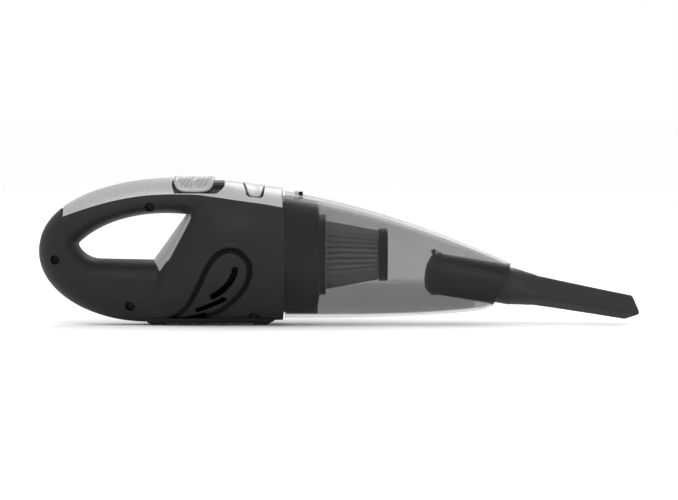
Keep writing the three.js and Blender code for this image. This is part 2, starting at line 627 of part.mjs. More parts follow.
// ---------------------------------------------------------------- dust cup
// A ring of the cup at u = 0 (joint) to 1 (mouth), its plane leaning more and more forwards.
function cupRing(u, inset, sides = 28) {
  const topX = MOUTH_TOP_X * u;
  const bottomX = MOUTH_BOTTOM.x * u;
  const lip = 2.2 * clamp((u - 0.93) / 0.07, 0, 1) ** 2;
  const top = v2(topX, CUP_TOP - 0.18 * topX - 0.00078 * topX * Math.abs(topX));
  const bottom = v2(bottomX, CUP_BOTTOM + 7.3 * Math.max(bottomX / 165, 0) ** 3.4 + lip);
  const up = top.clone().sub(bottom);
  const half = up.length() / 2;
  const scale = (half - inset) / half;
  const middle = top.add(bottom).multiplyScalar(0.5);
  return Array.from({ length: sides }, (_, i) => {
    const t = (2 * Math.PI * i) / sides;
    const rise = (Math.sin(t) / 2) * scale;
    return [middle.x + up.x * rise, (0.966 * half - inset) * Math.cos(t), middle.y + up.y * rise];
  });
}
const RINGS = [-0.06, 0.12, 0.25, 0.4, 0.55, 0.7, 0.82, 0.91, 0.96, 1];

const nozzle = new THREE.Group();
nozzle.position.set(MOUTH.x, 0, MOUTH.z);
nozzle.rotation.y = NOZZLE_TILT;
nozzle.updateMatrix();
const toCup = (geometry) => geometry.applyMatrix4(nozzle.matrix);

// A tube along the nozzle's own axis, as a solid in the cup's frame.
function nozzleBar(radius, from, to, sides = 24) {
  const geometry = new THREE.CylinderGeometry(radius, radius, to - from, sides);
  geometry.rotateZ(-Math.PI / 2).translate((from + to) / 2, 0, 0);
  return solid(toCup(geometry));
}

const cupSkin = solid(loft(RINGS.map((u) => cupRing(u, 0))));
const cupHollow = solid(loft(RINGS.map((u) => cupRing(u * 0.975 - (u < 0 ? 0.02 : 0), WALL))));
const notch = block([-10, 15.2], [-5.4, 5.4], [92, 120]);
add("dust_cup", cupSkin.subtract(cupHollow).subtract(nozzleBar(DUCT.outer + GAP, -70, 30))
  .intersect(aheadOfJoint(0.35)).subtract(notch), "smoke");

// The inlet duct ends flush with the cup's slanted mouth.
const aheadOfMouth = solid(loft([cupRing(1, -20), cupRing(1, -20).map(([x, y, z]) => [x + 60, y, z])]));
const ear = (side) => {
  const geometry = new THREE.BoxGeometry(5, 1.8, 5);
  geometry.translate(DUCT.back - 0.5, side * 8.4, FLAP_HINGE_Z + 1);
  return solid(toCup(geometry));
};
const pinHole = new THREE.CylinderGeometry(1.1, 1.1, 24, 12);
pinHole.translate(DUCT.back - 1.4, 0, FLAP_HINGE_Z + 1);
add("inlet_duct", nozzleBar(DUCT.outer, DUCT.back + 1, 20)
  .add(nozzleBar(DUCT.flange, DUCT.back, DUCT.back + 3.2))
  .add(ear(1)).add(ear(-1))
  .subtract(nozzleBar(DUCT.bore, -80, 40)).subtract(aheadOfMouth)
  .subtract(solid(toCup(pinHole))), "black");

const pin = new THREE.CylinderGeometry(0.8, 0.8, 18.6, 10);
pin.translate(DUCT.back - 1.4, 0, FLAP_HINGE_Z + 1);
add("flap_pin", solid(toCup(pin)), "steel");

// Rubber flap over the duct's inner end: a shallow dome with an eye that turns on the pin.
function flap() {
  const profile = [[0, 0], [0, 15.9], [-1.6, 15.7], [-4.4, 12.5], [-6.2, 7], [-6.8, 0]]
    .map(([x, r]) => v2(r, x + DUCT.back - 0.4));
  const dome = new THREE.LatheGeometry([...profile, profile[0]], 28);
  dome.rotateZ(-Math.PI / 2);
  const eye = new THREE.CylinderGeometry(2.1, 2.1, 14, 14);
  eye.translate(DUCT.back - 1.4 - 1.2, 0, FLAP_HINGE_Z + 1);
  const bore = new THREE.CylinderGeometry(1.15, 1.15, 30, 12);
  bore.translate(DUCT.back - 1.4, 0, FLAP_HINGE_Z + 1);
  return solid(toCup(dome)).add(solid(toCup(eye))).subtract(solid(toCup(bore)));
}
add("flap_valve", flap(), "rubber");

// ---------------------------------------------------------------- crevice tool
const TOOL_TURN = THREE.MathUtils.degToRad(38);
const TIP = { x: 100.8, wide: 0.479, narrow: -1.06 };
// [along the axis, half width, half height, squareness, lean of the end face, drop]
const TOOL_RINGS = [
  [-PLUG.length, 14.6, 14.6, 2, 0, 0], [1 - PLUG.length, PLUG.radius, PLUG.radius, 2, 0, 0],
  [7.5, PLUG.radius, PLUG.radius, 2, 0, 0],
  [9.5, 14.3, 14.3, 2, 0, 0], [17, 12.9, 11.0, 2.6, 0, 0], [27, 11.0, 8.2, 4, 0, -0.1],
  [42, 10.2, 7.0, 6, 0, -0.3], [76, 9.2, 6.3, 7, 0, -0.8], [TIP.x, 8.8, 5.9, 7, 1, -1.2],
];

function toolRing([x, wide, narrow, square, lean, drop], inset, sides = 20) {
  const power = (c) => Math.sign(c) * Math.abs(c) ** (2 / square);
  return Array.from({ length: sides }, (_, i) => {
    const t = (2 * Math.PI * i) / sides;
    const w = (wide - inset) * power(Math.cos(t));
    const n = (narrow - inset) * power(Math.sin(t));
    const shift = lean * (TIP.wide * w + TIP.narrow * n);
    return [x + shift,
      -w * Math.sin(TOOL_TURN) + n * Math.cos(TOOL_TURN),
      -w * Math.cos(TOOL_TURN) - n * Math.sin(TOOL_TURN) + drop];
  });
}
const toolHollow = TOOL_RINGS.map((row) => toolRing(row, PLUG.wall));
toolHollow[0] = toolHollow[0].map(([x, y, z]) => [x - 2, y, z]);
toolHollow[toolHollow.length - 1] = toolHollow[toolHollow.length - 1].map(([x, y, z]) => [x + 2, y, z]);
const groove = (low, high, from, to) => {
  const points = [[from, low], [from, high], [to, high], [to, low], [from, low]];
  const geometry = new THREE.LatheGeometry(points.map(([x, r]) => v2(r, x)), 24);
  return solid(toCup(geometry.rotateZ(-Math.PI / 2)));
};
add("crevice_tool", solid(toCup(loft(TOOL_RINGS.map((row) => toolRing(row, 0)))))
  .subtract(solid(toCup(loft(toolHollow))))
  .add(groove(12.2, 13.6, -22, -15))
  .subtract(groove(13.5, 16, -20, -17)), "tool");
add("tool_seal_ring", groove(13.8, 14.9, -19.7, -17.3), "rubber");

vacuum.position.x = -(TAIL_X + TOOL_TIP_X) / 2;
export default vacuum;
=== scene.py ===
"""Looks of a cordless handheld vacuum cleaner with a crevice tool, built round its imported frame.

Working units are millimetres, measured from the joint between housing and dust cup: +X points to
the nozzle, Y runs across and z = 0 is the surface that the vacuum stands on.
"""

import json
import math

import bpy
import numpy as np
from bpy.props import FloatProperty, FloatVectorProperty, IntProperty, PointerProperty
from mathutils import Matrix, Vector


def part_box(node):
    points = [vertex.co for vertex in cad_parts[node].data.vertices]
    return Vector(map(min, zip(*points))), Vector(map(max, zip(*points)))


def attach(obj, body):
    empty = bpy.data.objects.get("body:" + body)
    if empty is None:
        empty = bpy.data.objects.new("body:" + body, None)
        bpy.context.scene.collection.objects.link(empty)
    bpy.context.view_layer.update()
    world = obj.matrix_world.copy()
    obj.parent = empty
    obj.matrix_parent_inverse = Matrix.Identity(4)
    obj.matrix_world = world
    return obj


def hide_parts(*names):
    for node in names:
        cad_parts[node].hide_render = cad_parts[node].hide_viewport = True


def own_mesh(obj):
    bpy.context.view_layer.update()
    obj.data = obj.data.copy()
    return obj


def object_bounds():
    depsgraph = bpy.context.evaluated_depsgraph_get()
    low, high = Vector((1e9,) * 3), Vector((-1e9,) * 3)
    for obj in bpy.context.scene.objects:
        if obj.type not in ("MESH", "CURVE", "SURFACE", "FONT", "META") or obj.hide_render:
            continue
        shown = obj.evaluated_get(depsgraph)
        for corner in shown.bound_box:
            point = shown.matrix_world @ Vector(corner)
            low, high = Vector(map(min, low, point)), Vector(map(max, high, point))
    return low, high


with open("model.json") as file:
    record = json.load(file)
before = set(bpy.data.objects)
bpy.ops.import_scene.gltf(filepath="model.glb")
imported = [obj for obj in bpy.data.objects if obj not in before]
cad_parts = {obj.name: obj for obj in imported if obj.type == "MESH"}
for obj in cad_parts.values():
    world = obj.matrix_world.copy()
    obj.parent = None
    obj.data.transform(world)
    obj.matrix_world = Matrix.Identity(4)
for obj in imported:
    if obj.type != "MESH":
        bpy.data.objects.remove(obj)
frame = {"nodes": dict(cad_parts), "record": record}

CAD_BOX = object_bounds()

bl_info = {
    "name": "Handheld vacuum looks",
    "version": (1, 0, 0),
    "blender": (4, 5, 0),
    "location": "3D View > Sidebar > Vacuum",
    "description": "Shells, cup, filter, tool and finishes of a cordless handheld vacuum",
    "category": "Add Mesh",
}

# ---------------------------------------------------------------- sizes
MM = 0.001
TAIL_X = -194.1  # rearmost point of the handle
JOINT_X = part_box("housing_left")[0].x / MM - TAIL_X  # where the joint lies in the frame
AXIS_Z = 55.0  # motor and filter axis
GAP = 0.15  # half the parting line between two shells
EDGE_STEP, PANEL_SEAT, PANEL_WALL = 0.5, 1.6, 1.9  # groove along the panel, its seat and thickness
SCREW_RADIUS, SCREW_FLOOR = 3.5, 8.6  # screw recesses, and how far from the middle they end
JACK_Z, JACK_RADIUS, JACK_DEPTH = 66, 3.6, 5
SLOT_DEPTH, SLOT_ROOM = 9, 11  # vent slots, and how far the inner skin stands back from them
CREST = (-78.0, 116.0)
TAIL_Z = 57.4
BELLY = (-108.0, 2.0)
FRONT_TOP_Z = 107.4
HANDLE_HALF, MOTOR_HALF, MOTOR_BLEND, HANDLE_ROUND = 24.0, 49.84, 46.0, 23.0
HOLE_CENTRE = np.array([-112.0, 68.0])
SLOPE_LOW, SLOPE_HIGH = np.array([-98.0, 40.5]), np.array([-73.7, 86.6])
GRIP_LOW, GRIP_HIGH, GRIP_HALF = (-103.8, 50.8), (-77.7, 86.9), 21.5
MOUTH, NOZZLE_TILT = np.array([171.5, 31.3]), math.radians(9.5)
MOUTH_HOLE = 17.2  # radius of the cup's opening round the inlet
MOUTH_TOP = np.array([178.8, 48.4])
MOUTH_BOTTOM = np.array([164.3, 14.6])
CUP_START = 0.35
OPEN_FROM, RIM_ABOVE = (-93.0, -90.5), 0.6  # where the shells' open top begins, and its height
SCREW_SEATS = ((-180.1, 51.7), (-105.8, 93.0), (-121.4, 15.3), (-24.0, 7.0))
VENT_SLOTS = (  # start, bend, end, width
    ((-37.9, 45.2), (-41, 32), (-55.8, 23.9), 4.0),
    ((-46.9, 21.9), (-56, 17), (-68, 12.9), 3.0),
    ((-62.8, 9.2), (-71, 6.5), (-82.6, 4.4), 2.6),
)
TEARDROP = (  # outline of the vent's relief, seen from the side
    (-90, 4.4), (-82, 10.5), (-74.6, 18.2), (-66.3, 33.7), (-59.8, 47.6), (-53.4, 55.7), (-47, 59.8),
    (-41, 60.6), (-35.5, 59.2), (-31.4, 55.7), (-27.6, 51), (-26.4, 45.9), (-26.8, 40), (-28.8, 33.7),
    (-32.2, 28), (-37.1, 22.3), (-49.3, 12.5), (-65.6, 6), (-81.8, 3.6),
)


class VacuumSizes(bpy.types.PropertyGroup):
    """Sizes that change how the pieces look, without moving them."""

    shell_columns: IntProperty(name="Shell columns", description="Steps round the housing's outline",
                               default=560, min=120, max=800)
    shell_rows: IntProperty(name="Shell rows", description="Steps from finger opening to outline",
                            default=138, min=30, max=200)
    wall: FloatProperty(name="Wall", description="Thickness of the moulded walls", default=2.5 * MM,
                        subtype="DISTANCE", unit="LENGTH")
    relief: FloatProperty(name="Vent relief", description="Depth of the groove round the vents",
                          default=3.0 * MM, subtype="DISTANCE", unit="LENGTH")
    folds: IntProperty(name="Filter folds", description="Pleats round the filter", default=32,
                       min=12, max=80)
    ridge: FloatProperty(name="Switch ridge", description="Depth of the ridges on the power switch",
                         default=0.7 * MM, subtype="DISTANCE", unit="LENGTH")


# Converts an sRGB hex colour to linear red, green, blue and alpha.
def linear(hex_colour, alpha=1.0):
    parts = [int(hex_colour[i:i + 2], 16) / 255 for i in (1, 3, 5)]
    return [c / 12.92 if c <= 0.04045 else ((c + 0.055) / 1.055) ** 2.4 for c in parts] + [alpha]


def colour(name, hex_colour, description):
    return FloatVectorProperty(name=name, description=description, subtype="COLOR", size=4,
                               default=linear(hex_colour), min=0, max=1)


class VacuumColours(bpy.types.PropertyGroup):
    """Base colours of the finishes."""

    shell: colour("Housing", "#252525", "Moulded black housing")
    silver: colour("Silver", "#9c9c9d", "Silver lacquer on the back and the grip")
    gloss: colour("Inner black", "#050505", "Smoother black mouldings")
    smoke: colour("Cup", "#262626", "Smoked clear dust cup")
    paper: colour("Filter", "#8c8c8a", "Pleated filter paper")
    rubber: colour("Rubber", "#0e0e0e", "Seals, flap and pads")
    tool: colour("Tool", "#1b1b1b", "Crevice tool")


# ---------------------------------------------------------------- outlines, as arrays of (x, z)
LOT = 4000  # points that are measured against a line at a time


def bezier(points, count):
    """Bezier curve of any order: the sum of its points weighted by the Bernstein polynomials."""
    t = np.linspace(0, 1, count)[:, None]
    n = len(points) - 1
    return sum(math.comb(n, k) * (1 - t) ** (n - k) * t ** k * np.array(p, float)
               for k, p in enumerate(points))


def resample(points, count, closed=False):
    """Points at even steps of length along a line through the given ones."""
    line = np.vstack([points, points[:1]]) if closed else np.asarray(points, float)
    length = np.concatenate([[0], np.cumsum(np.hypot(*np.diff(line, axis=0).T))])
    at = np.linspace(0, length[-1], count, endpoint=not closed)
    return np.column_stack([np.interp(at, length, line[:, k]) for k in (0, 1)])


def smooth_loop(points, count):
    """Closed Catmull-Rom curve: each span is a cubic whose end slopes follow the points beside it."""
    p = np.array(points, float)
    t = np.arange(count) * len(p) / count
    i = t.astype(int)
    f = (t - i)[:, None]
    a, b, c, d = (p[(i + k) % len(p)] for k in (-1, 0, 1, 2))
    bend, twist = 2 * a - 5 * b + 4 * c - d, 3 * b - a - 3 * c + d
    return 0.5 * (2 * b + (c - a) * f + bend * f ** 2 + twist * f ** 3)


def back_line():
    """Outline of the back from past the joint to the tail: a cubic, then a superellipse quarter."""
    front = bezier([(30, 103.8), (15, 105.6), (0, FRONT_TOP_Z)], 30)[:-1]
    crest = bezier([(0, FRONT_TOP_Z), (-30, 111), (-55, CREST[1]), CREST], 80)[:-1]
    t = np.linspace(0, math.pi / 2, 240)
    n = 2 / 2.2
    quarter = np.column_stack([CREST[0] - (CREST[0] - TAIL_X) * np.sin(t) ** n,
                               TAIL_Z + (CREST[1] - TAIL_Z) * np.maximum(np.cos(t), 0) ** n])
    return resample(np.vstack([front, crest, quarter]), 500)


def belly_line():
    """Outline of the underside from the tail to past the joint: an ellipse quarter, then a straight."""
    t = np.linspace(0, math.pi / 2, 160)
    quarter = np.column_stack([BELLY[0] - (BELLY[0] - TAIL_X) * np.cos(t),
                               TAIL_Z - (TAIL_Z - BELLY[1]) * np.sin(t)])
    return resample(np.vstack([quarter, [(30, 3.8)]]), 420)


def opening_loop():
    path = [bezier(p, 24)[:-1] for p in (
        [(-146, 52.1), (-96, 51.05)], [(-96, 51.05), (-92.5, 51), (-90.6, 54.5)],
        [(-90.6, 54.5), (-75.6, 83)], [(-75.6, 83), (-73.6, 86.9), (-79.5, 87.1)],
        [(-79.5, 87.1), (-108, 90), (-142, 84), (-162.3, 64.3)],
        [(-162.3, 64.3), (-163.5, 61.5), (-156, 52.6), (-146, 52.1)])]
    return resample(np.vstack(path), 300, closed=True)


BACK, UNDER, OPENING = back_line(), belly_line(), opening_loop()
OUTLINE = np.vstack([BACK, UNDER[1:]])
PANEL_EDGE = smooth_loop([(-173.5, 85.9), (-149.5, 94), (-128.2, 99.3), (-103.8, 102.6), (-70, 102.9),
                          (-32.9, 98.5), (-2, 93.6), (60, 80), (60, 200), (-300, 200), (-190, 78)],
                         1100)[:600]


def distance(line, p, closed=False):
    """Distance from each point to the nearest place on a line."""
    start, end = line, np.roll(line, -1, axis=0)
    if not closed:
        start, end = start[:-1], end[:-1]
    side = end - start
    flat = p.reshape(-1, 2)
    best = np.empty(len(flat))
    for lot in range(0, len(flat), LOT):
        q = flat[lot:lot + LOT, None, :] - start
        t = np.clip((q * side).sum(-1) / np.maximum((side ** 2).sum(-1), 1e-9), 0, 1)
        best[lot:lot + LOT] = np.hypot(*np.moveaxis(q - t[..., None] * side, -1, 0)).min(1)
    return best.reshape(p.shape[:-1])


def inside(loop, p):
    """True where a point lies in a closed loop: a ray crosses its sides an odd number of times."""
    flat = p.reshape(-1, 2)
    a, b = loop, np.roll(loop, -1, axis=0)
    run, climb = (b - a).T
    climb = np.where(climb == 0, 1, climb)
    hits = np.zeros(len(flat), int)
    for lot in range(0, len(flat), LOT):
        x, z = flat[lot:lot + LOT, :1], flat[lot:lot + LOT, 1:]
        crosses = (a[:, 1] > z) != (b[:, 1] > z)
        at = a[:, 0] + (z - a[:, 1]) * run / climb
        hits[lot:lot + LOT] = (crosses & (x < at)).sum(1)
    return (hits % 2 == 1).reshape(p.shape[:-1])


def ramp(value, low, high):
    """Smooth step from 0 at low to 1 at high, level at both ends."""
    t = np.clip((value - low) / (high - low), 0, 1)
    return t * t * (3 - 2 * t)


def rounded(t):
    """Quarter circle from 0 at t = 0 up to 1 at t = 1."""
    return np.sqrt(np.maximum(1 - (1 - np.clip(t, 0, 1)) ** 2, 0))


def ahead(p):
    """Distance in front of the slanted line where the handle becomes the motor housing."""
    up = (SLOPE_HIGH - SLOPE_LOW) / np.hypot(*(SLOPE_HIGH - SLOPE_LOW))
    return (p[..., 0] - SLOPE_LOW[0]) * up[1] - (p[..., 1] - SLOPE_LOW[1]) * up[0]


def widths(p):
    """Half width and edge rounding: the handle's, blending over a parabola into the motor housing's."""
    w = 1 - (1 - np.clip(ahead(p) / MOTOR_BLEND, 0, 1)) ** 2
    return HANDLE_HALF + (MOTOR_HALF - HANDLE_HALF) * w, HANDLE_ROUND + (MOTOR_HALF - HANDLE_ROUND) * w


def half_thickness(p, inset):
    """Half width times a quarter circle towards the outline and another towards the opening."""
    full, outer = widths(p)
    to_outline = distance(OUTLINE, p)
    to_opening = distance(OPENING, p, closed=True)
    beside = 14 - 4 * np.clip((p[..., 1] - HOLE_CENTRE[1]) / 20, -1, 1)
    inner = beside + (3 - beside) * np.clip(ahead(p) + 1, 0, 1)
    return ((full - inset) * rounded((to_outline - inset) / (outer - inset))
            * rounded((to_opening - inset) / np.maximum(inner - inset, 0.6)))


# ---------------------------------------------------------------- meshes
def place(x, y, z):
    """Working millimetres to metres in the frame."""
    return np.stack([(x + JOINT_X) * MM, y * MM, z * MM], axis=-1)


def grid_mesh(name, points, close_rows=False, close_columns=True, caps=(), shade_masks=None, flip=False):
    """Quads between neighbours of a grid of points. A closed direction joins its last line to its
    first, and a cap closes the first or last row with one face."""
    rows, columns = points.shape[:2]
    r = np.arange(rows if close_rows else rows - 1)
    c = np.arange(columns if close_columns else columns - 1)
    i, j = (a.ravel() for a in np.meshgrid(r, c, indexing="ij"))
    up, over = (i + 1) % rows, (j + 1) % columns
    quads = np.column_stack([i * columns + j, i * columns + over, up * columns + over, up * columns + j])
    faces = quads.tolist()
    line = list(range(columns))
    faces += [line[::-1]] if "first" in caps else []
    faces += [[(rows - 1) * columns + k for k in line]] if "last" in caps else []
    if flip:
        faces = [f[::-1] for f in faces]
    mesh = bpy.data.meshes.new(name)
    mesh.from_pydata(points.reshape(-1, 3).tolist(), [], faces)
    for shade_mask, values in (shade_masks or {}).items():
        mesh.attributes.new(shade_mask, "FLOAT", "POINT").data.foreach_set(
            "value", np.ascontiguousarray(values, np.float32).ravel())
    mesh.polygons.foreach_set("use_smooth", np.ones(len(mesh.polygons), bool))
    mesh.update()
    return mesh


def outward(mesh):
    """Turns every face out when the signed volume of the closed mesh comes out negative."""
    mesh.calc_loop_triangles()
    co = np.empty(len(mesh.vertices) * 3)
    mesh.vertices.foreach_get("co", co)
    co = co.reshape(-1, 3)
    tri = np.empty(len(mesh.loop_triangles) * 3, np.int32)
    mesh.loop_triangles.foreach_get("vertices", tri)
    a, b, c = (co[tri.reshape(-1, 3)[:, k]] for k in range(3))
    if (a * np.cross(b, c)).sum() < 0:
        mesh.flip_normals()


def add_piece(mesh, body, slot, replaced=(), sharp=40, finish=None):
    """A piece from a closed mesh: facing outward, riding on its body, in its slot's finish."""
    piece = bpy.data.objects.new(mesh.name, mesh)
    bpy.context.scene.collection.objects.link(piece)
    outward(mesh)
    mesh.set_sharp_from_angle(angle=math.radians(sharp))
    mesh.materials.append(bpy.data.materials[finish or CAD_FINISHES[slot]])
    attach(piece, body)
    if replaced:
        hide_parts(*replaced)
    return piece


def turned(profile, sides=120):
    """A closed profile of (x, radius) turned about the X axis at the motor's height."""
    p = np.array(profile, float)
    a = np.linspace(0, 2 * math.pi, sides, endpoint=False)
    x = np.repeat(p[:, :1], sides, axis=1)
    r = p[:, 1:]
    return place(x, r * np.cos(a), AXIS_Z + r * np.sin(a))


def soft_profile(profile, radius=0.6, steps=4):
    """Rounds each corner of a closed profile with a short Bezier between points beside it."""
    p = np.array(profile, float)
    before, after = np.roll(p, 1, axis=0), np.roll(p, -1, axis=0)
    made = []
    for a, b, c in zip(before, p, after):
        reach = [min(radius, 0.45 * np.hypot(*(q - b))) / max(np.hypot(*(q - b)), 1e-9) for q in (a, c)]
        made.append(bezier([b + (a - b) * reach[0], b, b + (c - b) * reach[1]], steps))
    return np.vstack(made)


# ---------------------------------------------------------------- finishes
MIX_A, MIX_B, MIX_RESULT = 6, 7, 2  # the colour sockets of a Mix node


def add_node(tree, kind, links=(), **settings):
    """Adds a node, sets its properties and input values, and links inputs from given outputs."""
    node = tree.nodes.new(kind)
    for key, value in settings.items():
        if hasattr(node, key):
            setattr(node, key, value)
        else:
            node.inputs[key.replace("_", " ")].default_value = value
    for socket, source in dict(links).items():
        tree.links.new(source, node.inputs[socket])
    return node


def new_finish(name, base, roughness, **sockets):
    """A Principled material with its constants on the shader's own sockets."""
    material = bpy.data.materials.new(name)
    material.use_nodes = True
    tree = material.node_tree
    shader = tree.nodes["Principled BSDF"]
    shader.inputs["Base Color"].default_value = base
    shader.inputs["Roughness"].default_value = roughness
    for socket, value in sockets.items():
        shader.inputs[socket.replace("_", " ")].default_value = value
    return tree, shader


def scaled(tree, factor):
    """A mix from black whose factor may pass 1, so it multiplies its second colour by the factor."""
    mix = add_node(tree, "ShaderNodeMix", {"Factor": factor}, data_type="RGBA", clamp_factor=False)
    mix.inputs[MIX_A].default_value = (0, 0, 0, 1)
    return mix


def mottle(tree, shader, base, spread, scale_mm, roughness, rough_spread):
    """Slow noise that varies the colour by a share of itself, and the roughness by an amount."""
    coords = add_node(tree, "ShaderNodeTexCoord").outputs["Object"]
    noise = add_node(tree, "ShaderNodeTexNoise", {"Vector": coords}, Scale=1 / (scale_mm * MM), Detail=3.0)
    tint, rough = (add_node(tree, "ShaderNodeMapRange", {"Value": noise.outputs["Fac"]}, From_Min=0.3,
                            From_Max=0.7, To_Min=middle - off, To_Max=middle + off)
                   for middle, off in ((1, spread), (roughness, rough_spread)))
    grey = scaled(tree, tint.outputs["Result"])
    grey.inputs[MIX_B].default_value = base
    tree.links.new(grey.outputs[MIX_RESULT], shader.inputs["Base Color"])
    tree.links.new(rough.outputs["Result"], shader.inputs["Roughness"])
    return coords, grey


def grain(tree, shader, coords, pitch_mm, depth_mm, strength):
    """Fine random grain as bump: pitch is the width of a grain, depth its height."""
    noise = add_node(tree, "ShaderNodeTexNoise", {"Vector": coords}, Scale=1 / (pitch_mm * MM), Detail=2.0)
    bump = add_node(tree, "ShaderNodeBump", {"Height": noise.outputs["Fac"]}, Strength=strength,
                    Distance=depth_mm * MM)
    tree.links.new(bump.outputs["Normal"], shader.inputs["Normal"])
    return noise, bump


def paint_recess_shade(tree, shader, colour_socket):
    """Painted shade: the mesh's own mask, 1 in grooves and slots, pulls the colour down to near black, as the
    shade that falls in them.
    """
    shade_mask = add_node(tree, "ShaderNodeAttribute", attribute_name="recess_shade")
    mix = add_node(tree, "ShaderNodeMix", {"Factor": shade_mask.outputs["Fac"]}, data_type="RGBA")
    tree.links.new(colour_socket, mix.inputs[MIX_A])
    # painted shade: near black for the shade inside grooves, slots and pockets
    mix.inputs[MIX_B].default_value = linear("#020202")
    tree.links.new(mix.outputs[MIX_RESULT], shader.inputs["Base Color"])


def moulded_housing(c):
    """Spark-eroded black ABS: fine even grain that breaks highlights into a soft satin sheen."""
    tree, shader = new_finish("abs_black_spark_eroded", c.shell, 0.46, Specular_IOR_Level=0.1)
    coords, base = mottle(tree, shader, c.shell, 0.06, 18, 0.46, 0.04)
    grain(tree, shader, coords, 0.7, 0.05, 0.5)
    # painted shade in grooves, slots and pockets, from the mesh's own mask
    paint_recess_shade(tree, shader, base.outputs[MIX_RESULT])


def silver_lacquer(c):
    """ABS sprayed with aluminium-flake lacquer: pale, faintly metallic, stippled behind the switch."""
    tree, shader = new_finish("abs_silver_lacquered", c.silver, 0.36, Metallic=0.15, Coat_Weight=0.06,
                              Coat_Roughness=0.2)
    coords, base = mottle(tree, shader, c.silver, 0.03, 3, 0.36, 0.05)
    stipple, bump = grain(tree, shader, coords, 1.1, 0.22, 1.0)
    place_x = add_node(tree, "ShaderNodeSeparateXYZ", {"Vector": coords})
    rear = add_node(tree, "ShaderNodeMapRange", {"Value": place_x.outputs["X"]},
                    From_Min=(JOINT_X - 92) * MM, From_Max=(JOINT_X - 100) * MM, To_Min=0.12, To_Max=1.0)
    tree.links.new(rear.outputs["Result"], bump.inputs["Strength"])
    fleck = add_node(tree, "ShaderNodeMapRange", {"Value": stipple.outputs["Fac"]},
                     From_Min=0.35, From_Max=0.65, To_Min=0.88, To_Max=1.12)
    share = add_node(tree, "ShaderNodeMath", {0: rear.outputs["Result"], 1: fleck.outputs["Result"]},
                     operation="MULTIPLY")
    keep = add_node(tree, "ShaderNodeMath", {1: rear.outputs["Result"]}, operation="SUBTRACT")
    keep.inputs[0].default_value = 1.0
    total = add_node(tree, "ShaderNodeMath", {0: share.outputs[0], 1: keep.outputs[0]}, operation="ADD")
    tone = scaled(tree, total.outputs[0])
    tree.links.new(base.outputs[MIX_RESULT], tone.inputs[MIX_B])
    # painted shade in the panel's pockets and under it, from the mesh's own mask
    paint_recess_shade(tree, shader, tone.outputs[MIX_RESULT])


def smoked_clear(c):
    """Smoked clear polycarbonate, polished: see-through grey with sharp highlights. The cup itself,
    and a fainter copy for the sheet in its lower part, which is there as painted shade. Along the bottom,
    below 7 mm, both are painted pale grey as a painted highlight."""
    # the second, fainter finish is for the sheet of painted shade in the cup's lower part
    for name, alpha in (("polycarbonate_smoked_polished", 0.33), ("smoked_shade_sheet", 0.12)):
        tree, shader = new_finish(name, c.smoke, 0.1, IOR=1.58, Alpha=alpha, Specular_IOR_Level=0.24)
        coords = add_node(tree, "ShaderNodeTexCoord").outputs["Object"]
        height = add_node(tree, "ShaderNodeSeparateXYZ", {"Vector": coords})
        # Painted highlight: pale grey below 7 mm, fading into the smoke colour by 9.5 mm, a light strip along
        # the cup's bottom.
        keel = add_node(tree, "ShaderNodeMapRange", {"Value": height.outputs["Z"]},
                        interpolation_type="SMOOTHSTEP", From_Min=7.0 * MM, From_Max=9.5 * MM)
        painted_keel_highlight = add_node(tree, "ShaderNodeMix", {"Factor": keel.outputs["Result"]}, data_type="RGBA")
        painted_keel_highlight.inputs[MIX_A].default_value = linear("#c8c8c8")
        painted_keel_highlight.inputs[MIX_B].default_value = c.smoke
        tree.links.new(painted_keel_highlight.outputs[MIX_RESULT], shader.inputs["Base Color"])
        noise = add_node(tree, "ShaderNodeTexNoise", {"Vector": coords}, Scale=1 / (9 * MM), Detail=2.0)
        rough = add_node(tree, "ShaderNodeMapRange", {"Value": noise.outputs["Fac"]}, To_Min=0.08,
                         To_Max=0.18)
        tree.links.new(rough.outputs["Result"], shader.inputs["Roughness"])


def plain_mouldings(c):
    """Smaller plastics, rubbers and paper: each with its own grain size, depth and gloss."""
    dull, satin = {"Specular_IOR_Level": 0.15}, {"Specular_IOR_Level": 0.3}
    kinds = (  # name, base, roughness, patch mm, grain mm, depth mm, sockets
        # polished mould: clear highlights, no grain
        ("abs_black_semi_gloss", c.gloss, 0.32, 12, 0, 0, dull),
        # crevice tool: waxy, with a soft sheen
        ("polypropylene_black_satin", c.tool, 0.42, 14, 0.8, 0.03, satin),
        # seals, flap and pads: no highlight
        ("nitrile_rubber_matt", c.rubber, 0.8, 6, 0.4, 0.03, {"Sheen_Weight": 0.1}),
        # fibres: dull and creped
        ("filter_paper_creped", c.paper, 0.92, 5, 0.45, 0.08, {"Sheen_Weight": 0.15}),
        # bright little window
        ("acrylic_clear_lens", linear("#9a9a9a"), 0.12, 4, 0.8, 0.01, {"Coat_Weight": 0.5}),
        # sleeve round the battery cells: slight gloss
        ("pvc_shrink_sleeve", linear("#41607c"), 0.35, 8, 0.8, 0.01, {}),
        # screws
        ("steel_black_oxide", linear("#0c0c0c"), 0.5, 3, 0.8, 0.01, satin),
        # woven board under a green mask
        ("fibreglass_solder_mask", linear("#24502f"), 0.4, 2, 0.9, 0.02, {}),
    )
    for name, base, roughness, patch, pitch, depth, sockets in kinds:
        tree, shader = new_finish(name, base, roughness, **sockets)
        coords, _ = mottle(tree, shader, base, 0.08, patch, roughness, 0.04)
        if depth:
            grain(tree, shader, coords, pitch, depth, 0.6)


